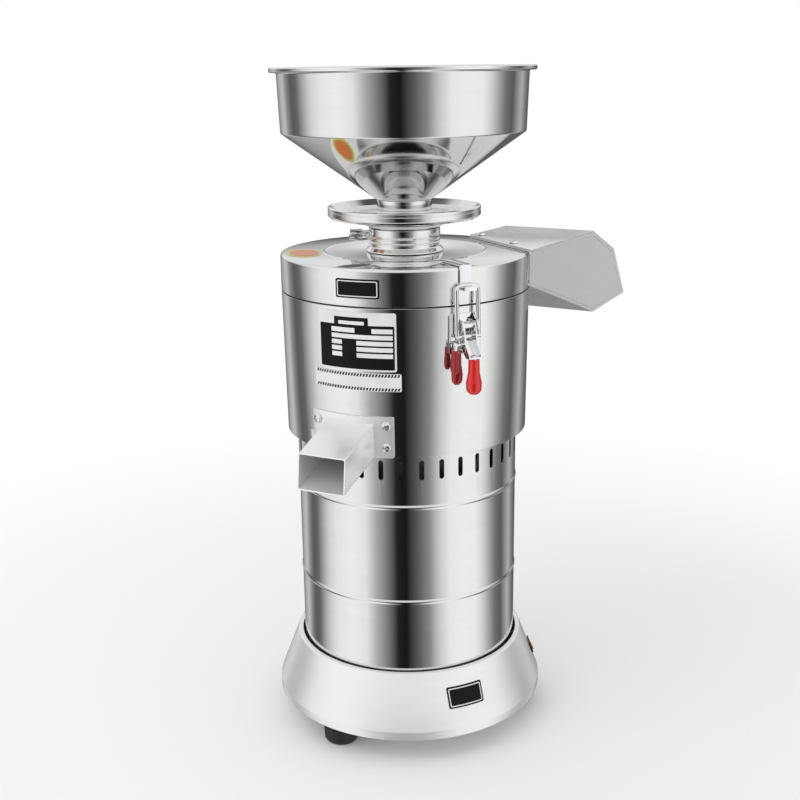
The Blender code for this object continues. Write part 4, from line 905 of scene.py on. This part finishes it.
handwheel = {
    "profile": (
        (0.0283, 0.5603), (0.0360, 0.5603, 0.0008), (0.0360, 0.5963), (0.0430, 0.5963, 0.0012),
        (0.0506, 0.6008, 0.0030), (0.0880, 0.6074, 0.0030), (0.0920, 0.6105, 0.0030), (0.0920, 0.6161),
        (0.0912, 0.6163), (0.0912, 0.6175), (0.0920, 0.6177), (0.0920, 0.6207, 0.0012),
        (0.0885, 0.6215, 0.0012), (0.0800, 0.6140, 0.0040), (0.0662, 0.6120, 0.0015), (0.0283, 0.6120),
    ),
}


hopper = {
    "profile": (
        (0.1461, 0.7808, 0.0012), (0.1491, 0.7820, 0.0016), (0.1547, 0.7820, 0.0016),
        (0.1562, 0.7806, 0.0010), (0.1562, 0.7772, 0.0010), (0.1547, 0.7762, 0.0010),
        (0.1476, 0.7758, 0.0016), (0.1450, 0.7076, 0.0030), (0.0332, 0.6290, 0.0008), (0.0314, 0.6290),
        (0.0314, 0.6141), (0.0299, 0.6141), (0.0299, 0.6290, 0.0020), (0.1435, 0.7091, 0.0024),
    ),
}


makeFeedTube()
turned("wheel", handwheel["profile"], "handwheel", "handwheel")
turned("bowl", hopper["profile"], "hopper", "hopper")
print("feed side made")


# spout, with its screws

spout = {
    "halfWidth": 0.0300,
    "under": ((0.1434, 0.3504), (0.2200, 0.3270)),  # the floor's line to the mouth, as (out, up)
    "over": ((0.1434, 0.3924), (0.2150, 0.3690)),
    "tubeReach": 0.010,
    "boreReach": 0.020,
    "mouthReach": 0.030,
    "start": 0.100,
    "keepHalf": 0.090,
    "wall": 0.001575,
    "edge": 0.0022,
    "boreEdge": 0.0012,
    "flange": (-0.0533, 0.0533, 0.3505, 0.4015),
    "flangeBend": 0.0035,
    "flangeColumns": 16,
    "tab": (-0.0590, -0.0500, 0.3630, 0.3715),
    "tabBend": 0.0008,
    "tabThick": 0.00135,
    "tabLift": 0.0001,
    "tabColumns": 4,
    "cutterMargin": 0.05,
    # azimuth, height, turn of the cross
    "screws": ((-17, 0.3885, 0), (-17, 0.3635, 20), (17, 0.3885, 40), (17, 0.3635, 60)),
    "screwSeat": 0.0021,
}
screw = {
    "profile": (
        (0, 0), (0.0055, 0), (0.0055, 0.0007, 0.0003), (0.0044, 0.00234, 0.0010), (0.001925, 0.0030),
        (0, 0.0030),
    ),
    "cross": (0.0030, 0.0006),
    "crossHeights": (0.00135, 0.0040),
}


def past(line, reach):  # the line's ends moved apart by the reach
    start, end = Vector(line[0]), Vector(line[1])
    step = (end - start).normalized() * reach
    return tuple(start - step), tuple(end + step)


def tubeOutline(inset, reach):
    underStart, underEnd = past(spout["under"], reach)
    overStart, overEnd = past(spout["over"], reach)
    return [(underStart[0], underStart[1] + inset), (underEnd[0], underEnd[1] + inset),
            (overEnd[0], overEnd[1] - inset), (overStart[0], overStart[1] - inset)]


def makeSpout():
    half, inner, clear = spout["halfWidth"], spout["halfWidth"] - shop["sheet"], shop["clear"]
    flange = upright("flange", roundedOutline(*spout["flange"], spout["flangeBend"]), shop["sheet"])
    wrapped(flange, 0, onDrum(0), spout["flangeColumns"])
    tab = upright("tab", roundedOutline(*spout["tab"], spout["tabBend"]), spout["tabThick"])
    wrapped(tab, 0, onDrum(spout["tabLift"]), spout["tabColumns"])
    piece = plated("spout_tube", tubeOutline(0, spout["tubeReach"]), -half, half, "X", spout["edge"])
    cut(piece, flange, "UNION")
    cut(piece, tab, "UNION")
    bore = tubeOutline(spout["wall"], spout["boreReach"])
    cut(piece, plated("bore", bore, -inner, inner, "X", spout["boreEdge"]))
    below, above = past((spout["under"][1], spout["over"][1]), spout["mouthReach"])
    keep = [(spout["start"], below[1]), below, above, (spout["start"], above[1])]
    cut(piece, plated("keep", keep, -spout["keepHalf"], spout["keepHalf"], "X", 0), "INTERSECT")
    bottom, top = spout["flange"][2] - spout["cutterMargin"], spout["flange"][3] + spout["cutterMargin"]
    cut(piece, roundShape("drum_shape", bottom, top, drumRadius(bottom) + clear, drumRadius(top) + clear))
    standing(tidied(piece), "root", "spout")


def makeScrew():
    piece = spun("screw", screw["profile"], shop["smallAround"], shop["tinyEdge"], closed=False)
    bottom, top = screw["crossHeights"]
    for wide, deep in (screw["cross"], screw["cross"][::-1]):
        cut(piece, block("slot", (-wide, -deep, bottom), (wide, deep, top)))
    return tidied(piece)


def makeScrews():
    model = makeScrew()
    for i, (azimuth, height, turn) in enumerate(spout["screws"]):
        piece = settle(copied(model, f"flange_screw_{i + 1}"), turn)
        place = (0, -drumRadius(height) - spout["screwSeat"], height)
        standing(settle(piece, azimuth, place, 90), "root", f"spout_screw_{i + 1}")
    for i, (radius, azimuth, turn) in enumerate(chute["screws"]):
        piece = settle(copied(model, f"lid_screw_{i + 1}"), turn)
        settle(piece, 0, out(azimuth, radius, chute["screwHeight"]))
        standing(piece, "root", f"chute_screw_{i + 1}")
    bpy.data.objects.remove(model, do_unlink=True)


makeSpout()
makeScrews()
print("spout made")


# residue chute

def cutByDrum(piece):
    # the chute's walls stop short of the drum below and of the cover above
    for gap in ("drumGap", "coverGap"):
        cut(piece, roundShape(gap, *chute[gap]))


def shrunk(outline, inset):  # clockwise points, each edge moved inward
    line = []
    for i, corner in enumerate(outline):
        here = Vector(corner)
        back = (here - Vector(outline[i - 1])).normalized()
        ahead = (Vector(outline[(i + 1) % len(outline)]) - here).normalized()
        inward = Vector((back.y + ahead.y, -back.x - ahead.x)).normalized()
        line.append(tuple(here + inward * inset / inward.dot(Vector((back.y, -back.x)))))
    return line


def makeChuteBox():
    near, far, sheet = chute["near"], chute["far"], shop["sheet"]
    piece = plated("chute_walls", chute["box"], near, far, "X")
    heel, start = (Vector(corner) for corner in chute["box"][4:])
    fall = (start.y - heel.y) / (heel.x - start.x)
    rise = sheet * math.hypot(1, fall)
    (lipEnd, lipRise), (farthest, lowest, highest) = chute["lip"], chute["room"]
    room = [(0, start.y + fall * start.x + rise), (heel.x, heel.y + rise),
            (lipEnd, heel.y + rise + lipRise), (lipEnd, lowest), (farthest, lowest),
            (farthest, highest), (0, highest)]
    cut(piece, plated("room", room, near + sheet, far - sheet, "X", 0))
    frameEdge = shrunk(chute["box"], chute["frame"])
    panelEdge = shrunk(chute["box"], chute["frame"] + chute["groove"])
    run, deep, more = chute["grooveRun"], chute["grooveDepth"], chute["panelRun"]
    for first, last in ((near - run, near + deep), (far - deep, far + run)):
        ring = plated("groove", frameEdge, first, last, "X", 0)
        cut(ring, plated("panel", panelEdge, first - more, last + more, "X", 0))
        cut(piece, ring)
    settle(piece, chute["azimuth"])
    cutByDrum(piece)
    standing(tidied(piece, 30), "root", "chute_box")


def makeChuteLid():
    lid = plated("lid", chute["top"] + chute["under"], chute["near"], chute["far"], "X")
    (farEnd, farOut), (nearEnd, nearOut) = past(chute["seatOutline"][:2], chute["cornerReach"])
    back = chute["cornerBack"]
    corner = [(farEnd, farOut), (nearEnd, nearOut), (nearEnd, back), (farEnd, back)]
    cut(lid, plated("corner", corner, *chute["cornerHeights"], "Z", 0))
    (lowest, highest), margin = chute["seat"], chute["seatMargin"]
    seat = plated("seat", chute["seatOutline"], lowest, highest, "Z", shop["tinyEdge"])
    settle(seat, chute["azimuth"])
    coverShape = roundShape("cover_shape", lowest - margin, highest + margin, chute["seatRadius"])
    cut(seat, coverShape, "INTERSECT")
    settle(lid, chute["azimuth"])
    cut(lid, seat, "UNION")
    standing(tidied(lid, 30), "root", "chute_top")


makeChuteBox()
makeChuteLid()
print("chute made")


# latches

latch = {
    "azimuths": (52, 232),
    "keeperHalf": 0.0075,
    "keeper": ((0.108, 0.5679), (0.1508, 0.5679), (0.1508, 0.5427), (0.1653, 0.5427), (0.1653, 0.5472),
               (0.1633, 0.5472), (0.1633, 0.5447), (0.1528, 0.5447), (0.1528, 0.5699), (0.108, 0.5699)),
    "plate": (-0.0200, 0.0200, 0.470, 0.516),
    "plateBend": 0.003,
    "plateRadius": 0.1508,
    "plateColumns": 12,
    "ear": (0.0087, 0.0105),
    "earFoot": ((0.15155, 0.516), (0.15155, 0.470), (0.15305, 0.470), (0.1535, 0.4935)),
    "earHead": (0.15305, 0.516),
    "earRound": 0.0075,
    "pivot": (0.1580, 0.5025),
    "pinRadius": 0.0030,
    "pinHalf": 0.0102,
    "handle": ((-0.004, -0.016), (0.003, -0.0285), (0.0102, -0.0345), (0.0178, -0.0345), (0.0178, -0.0305),
               (0.009, -0.020), (0.006, -0.006)),
    "handleRound": 0.0052,
    "cheek": (0.0064, 0.0082),
    "webRises": (1.1, 0.6),  # shares of a cheek's thickness
    "webOverlap": 0.0004,
    "tang": (0.014, -0.0715, -0.031, 0.0035),
    "lockPin": (0.0025, -0.0205, -0.0201, 0.0020),
    "gripRadius": 0.1720,
    "grip": ((0, 0.4675), (0.0062, 0.4675, 0.0008), (0.0066, 0.4520, 0.010), (0.0091, 0.4400, 0.008),
             (0.0086, 0.4310, 0.006), (0.0045, 0.4270, 0.003), (0, 0.4270)),
    "linkPivot": (0.1580, 0.4905),
    "linkHalf": 0.0135,
    "linkRise": 0.057,
    "linkLean": -0.0017,
    "linkBend": 0.0060,
    "linkSteps": 8,
    "linkWire": 0.0025,
    "linkPinHalf": 0.0157,
    "leverPivot": (0.1605, 0.4820),
    "lever": (-0.0198, -0.0168),
    "leverHalf": 0.0038,
    "leverFall": 0.0264,
    "lockGripMiddle": -0.0183,
    "lockGripScale": (0.77, 1, 1),
    "lockGrip": ((0, 0.4770), (0.0046, 0.4770, 0.0008), (0.0050, 0.4670, 0.006), (0.00585, 0.4590, 0.005),
                 (0.0054, 0.4530, 0.003), (0.0030, 0.4500, 0.002), (0, 0.4500)),
}


def arc(centre, radius, start, end, steps=12):
    line = []
    for k in range(steps + 1):
        turn = math.radians(start + (end - start) * k / steps)
        line.append((centre[0] + radius * math.cos(turn), centre[1] + radius * math.sin(turn)))
    return line


def across(name, place, half, radius):  # a pin across the latch
    outward, height = place
    return rod(name, (-half, -outward, height), (half, -outward, height), radius, shop["fineEdge"])


def bothSides(name, outline, span, *ease):
    first, last = span
    return [plated(name, outline, *side, "X", *ease) for side in ((first, last), (-last, -first))]


def makeKeeper():
    half = latch["keeperHalf"]
    return plated("keeper", latch["keeper"], -half, half, "X", shop["tinyEdge"])


def makeLatchBase():
    flat = upright("plate", roundedOutline(*latch["plate"], latch["plateBend"]), shop["sheet"])
    wrapped(flat, 0, lambda height: latch["plateRadius"], latch["plateColumns"])
    outline = [*latch["earFoot"], *arc(latch["pivot"], latch["earRound"], -90, 90), latch["earHead"]]
    ears = bothSides("ear", outline, latch["ear"], shop["tinyEdge"])
    pin = across("pin", latch["pivot"], latch["pinHalf"], latch["pinRadius"])
    return joined("latch_plate", [flat, *ears, pin])


def fromPivot(x, reach, rise):
    outward, height = latch["pivot"]
    return x, -outward - reach, height + rise


def makeHandle():
    outward, height = latch["pivot"]
    foot = [(outward + x, height + z) for x, z in latch["handle"]]
    outline = arc(latch["pivot"], latch["handleRound"], 30, 200) + foot
    (first, last), (rise, heelRise), overlap = latch["cheek"], latch["webRises"], latch["webOverlap"]
    cheeks = bothSides("cheek", outline, latch["cheek"])
    thick = last - first
    back = foot[:4] + [(x, z + thick * rise) for x, z in (foot[3], foot[2])]
    back += [(foot[1][0] + thick, foot[1][1] + thick * heelRise), (foot[0][0] + thick, foot[0][1])]
    web = plated("web", back, -first - overlap, first + overlap, "X", shop["hairEdge"])
    reach, bottom, top, wire = latch["tang"]
    tang = rod("tang", fromPivot(0, reach, bottom), fromPivot(0, reach, top), wire)
    reach, drop, side, wire = latch["lockPin"]
    start, end = fromPivot(-first, reach, drop), fromPivot(side, reach, drop)
    return joined("handle", [*cheeks, web, tang, rod("lock_pin", start, end, wire, shop["fineEdge"])])


def makeLink():
    (outward, foot), half, bend = latch["linkPivot"], latch["linkHalf"], latch["linkBend"]
    topOut, top = outward + latch["linkLean"], foot + latch["linkRise"]
    path = [(-half, -outward, foot)]
    for middle, start, end in ((-half + bend, 180, 90), (half - bend, 90, 0)):
        corner = arc((middle, top - bend), bend, start, end, latch["linkSteps"])
        path += [(x, -topOut, height) for x, height in corner]
    path.append((half, -outward, foot))
    pin = across("pin", latch["linkPivot"], latch["linkPinHalf"], latch["linkWire"])
    return joined("loop", [wired("loop", path, latch["linkWire"]), pin])


def makeLever():
    (outward, height), half = latch["leverPivot"], latch["leverHalf"]
    bottom = height - latch["leverFall"]
    outline = arc((outward, height), half, 0, 180) + arc((outward, bottom + half), half, 180, 360)
    return plated("lever", outline, *latch["lever"], "X", shop["softEdge"])


def makeLockGrip():
    piece = spun("lock_grip", latch["lockGrip"], shop["smallAround"], closed=False)
    only(piece)
    piece.scale = latch["lockGripScale"]
    applied()
    return settle(piece, 0, (latch["lockGripMiddle"], -latch["leverPivot"][0], 0))


def makeLatches():
    grip = spun("grip", latch["grip"], shop["gripAround"], closed=False)
    settle(grip, 0, (0, -latch["gripRadius"], 0))
    models = (
        (makeKeeper(), "root", "keeper"),
        (makeLatchBase(), "root", "latch_base"),
        (makeHandle(), "latch", "latch_handle"),
        (grip, "latch", "latch_grip"),
        (makeLink(), "link", "pull_link"),
        (makeLever(), "lever", "lock_lever"),
        (makeLockGrip(), "lever", "lock_grip"),
    )
    for i, azimuth in enumerate(latch["azimuths"]):
        for model, body, node in models:
            piece = settle(copied(model, f"{node}_shape_{i + 1}"), azimuth)
            standing(piece, "root" if body == "root" else f"{body}_{i + 1}", f"{node}_{i + 1}")
    for model, body, node in models:
        bpy.data.objects.remove(model, do_unlink=True)


makeLatches()
print("latches made")


# plates and stickers, with no lettering

plate = {
    "thick": 0.0006,
    "print": 0.00012,
    "line": 0.0011,
    "lineGap": 1.6,  # from the plate's edge, in widths of the line
    "innerBend": 0.7,  # share of the outer bend
    "cutterThick": 0.01,
    "badgeAzimuth": 5.15,
    "badge": (-0.026, 0.026, 0.5346, 0.5560),
    "badgeBend": 0.0018,
    "dataAzimuth": 3.75,
    "data": (-0.048, 0.048, 0.4520, 0.5190),
    "dataBend": 0.0025,
    # finish, lift and bend, then boxes as shares of the plate's width and height, from its left and top
    "prints": {
        "data_dark": ("black_plate", 0, 0.0015, (0.02, 0.98, 0.22, 0.97)),
        "data_tab": ("black_plate", 0.00001, 0.0003, (0.23, 0.67, 0.09, 0.24)),
        "data_cells": (
            "white_plate", 0.00012, 0.0003,
            (0.29, 0.62, 0.155, 0.215), (0.19, 0.50, 0.27, 0.35), (0.71, 0.96, 0.27, 0.35),
            (0.19, 0.96, 0.38, 0.455), (0.19, 0.33, 0.485, 0.56), (0.52, 0.96, 0.485, 0.56),
            (0.19, 0.33, 0.59, 0.665), (0.52, 0.96, 0.59, 0.665), (0.19, 0.33, 0.695, 0.77),
            (0.52, 0.96, 0.695, 0.77),
        ),
    },
    "columns": (24, 0.1),  # columns of faces over a width
    "stripAzimuth": 3.0,
    "strip": (-0.0549, 0.0549, 0.4290, 0.4496),
    "stripBend": 0.0015,
    "ticks": 30,
    "tickStart": 0.7,
    "tickInset": 0.0006,
    "tickSize": (0.0021, 0.0034, 0.0014),  # width, height, lean
    "tickColumns": 12,
    "skirtAzimuth": 51.5,
    "skirtBadge": (-0.0235, 0.0235, 0.0330, 0.0570),
    "skirtLineBend": 0.0015,
    "skirtSlope": 0.3908,
    "stickerAzimuth": -55,
    "stickerRing": 0.1222,
    "stickerHalf": (0.0330, 0.0212),
    "stickerLift": 0.0001,
    "stickerThick": 0.00015,
    "stickerStep": 6,
    "stickerBands": ((1.0, "sticker_yellow"), (0.80, "sticker_green"), (0.74, "sticker_orange")),
}


def onSkirt(lift):
    roll, foot = skirt["rollHeight"], skirt["footRadius"]
    return lambda height: foot - plate["skirtSlope"] * (height - roll) + shop["clear"] + lift


def film(piece, finish, like):  # no CAD piece stands for it
    return dressed(piece, finish, "root", slot=slotOf[like])


def laid(name, box, bend, thick, azimuth, radiusAt):
    return wrapped(upright(name, roundedOutline(*box, bend), thick, shop["hairEdge"]), azimuth, radiusAt)


def shares(whole, box):
    left, right, bottom, top = whole
    wide, tall = right - left, top - bottom
    return left + wide * box[0], left + wide * box[1], top - tall * box[3], top - tall * box[2]


def inside(box, gap, bend):
    left, right, bottom, top = box
    return roundedOutline(left + gap, right - gap, bottom + gap, top - gap, bend)


def bordered(name, box, bend, azimuth, radiusAt):
    # a thin white line round the edge of a plate
    line, deep = plate["line"], plate["cutterThick"]
    gap = line * plate["lineGap"]
    outer = upright(name, inside(box, gap, bend), plate["print"], 0)
    inner = upright("inner", inside(box, gap + line, bend * plate["innerBend"]), deep, 0)
    inner.location.y = deep / 2
    film(wrapped(cut(outer, inner), azimuth, radiusAt), "white_plate", "top_badge")


def makeBadge():
    badge, azimuth, bend = plate["badge"], plate["badgeAzimuth"], plate["badgeBend"]
    standing(laid("badge", badge, bend, plate["thick"], azimuth, onDrum(0)), "root", "top_badge")
    bordered("badge_line", badge, bend, azimuth, onDrum(plate["thick"]))


def makeDataPlate():
    data, azimuth, thick = plate["data"], plate["dataAzimuth"], plate["thick"]
    flat = laid("data", data, plate["dataBend"], thick, azimuth, onDrum(0))
    dressed(flat, "white_plate", "root", "data_plate")
    columns, span = plate["columns"]
    for name, (finish, lift, bend, *boxes) in plate["prints"].items():
        pieces = []
        for left, right, bottom, top in (shares(data, box) for box in boxes):
            steps = max(2, round(columns * (right - left) / span))
            printed = upright(name, roundedOutline(left, right, bottom, top, bend), plate["print"], 0)
            pieces.append(wrapped(printed, azimuth, onDrum(thick + lift), steps))
        film(joined(name, pieces), finish, "data_plate")


def makeStrip():
    azimuth, thick = plate["stripAzimuth"], plate["thick"] / 2
    flat = laid("strip", plate["strip"], plate["stripBend"], thick, azimuth, onDrum(0))
    film(flat, "white_plate", "data_plate")
    left, right, bottom, top = plate["strip"]
    (wide, tall, lean), inset = plate["tickSize"], plate["tickInset"]
    step = (right - left) / plate["ticks"]
    ticks = []
    for i in range(plate["ticks"] - 1):
        x = left + step * (i + plate["tickStart"])
        for foot in (bottom + inset, top - inset - tall):
            line = [(x, foot), (x + wide, foot), (x + wide + lean, foot + tall), (x + lean, foot + tall)]
            ticks.append(upright("tick", line, plate["print"], 0))
    hatch = wrapped(joined("hatch", ticks), azimuth, onDrum(thick), plate["tickColumns"])
    film(hatch, "black_plate", "data_plate")


def makeSkirtBadge():
    badge, azimuth = plate["skirtBadge"], plate["skirtAzimuth"]
    flat = laid("skirt_badge", badge, plate["badgeBend"], plate["thick"], azimuth, onSkirt(0))
    film(flat, "black_plate", "top_badge")
    bordered("skirt_line", badge, plate["skirtLineBend"], azimuth, onSkirt(plate["thick"]))


def makeSticker():
    (wide, deep), ring, thick = plate["stickerHalf"], plate["stickerRing"], plate["stickerThick"]
    height = cover["top"] + plate["stickerLift"]
    turns = [math.radians(degrees) for degrees in range(0, 360, plate["stickerStep"])]
    for i, (share, finish) in enumerate(plate["stickerBands"]):
        oval = [(wide * share * math.cos(turn), ring + deep * share * math.sin(turn)) for turn in turns]
        layer = plated(f"sticker_{i + 1}", oval, height + thick * i, height + thick * (i + 1), "Z", 0)
        film(settle(layer, plate["stickerAzimuth"]), finish, "data_plate")


makeBadge()
makeDataPlate()
makeStrip()
makeSkirtBadge()
makeSticker()
print("plates and stickers made")

bpy.context.view_layer.update()
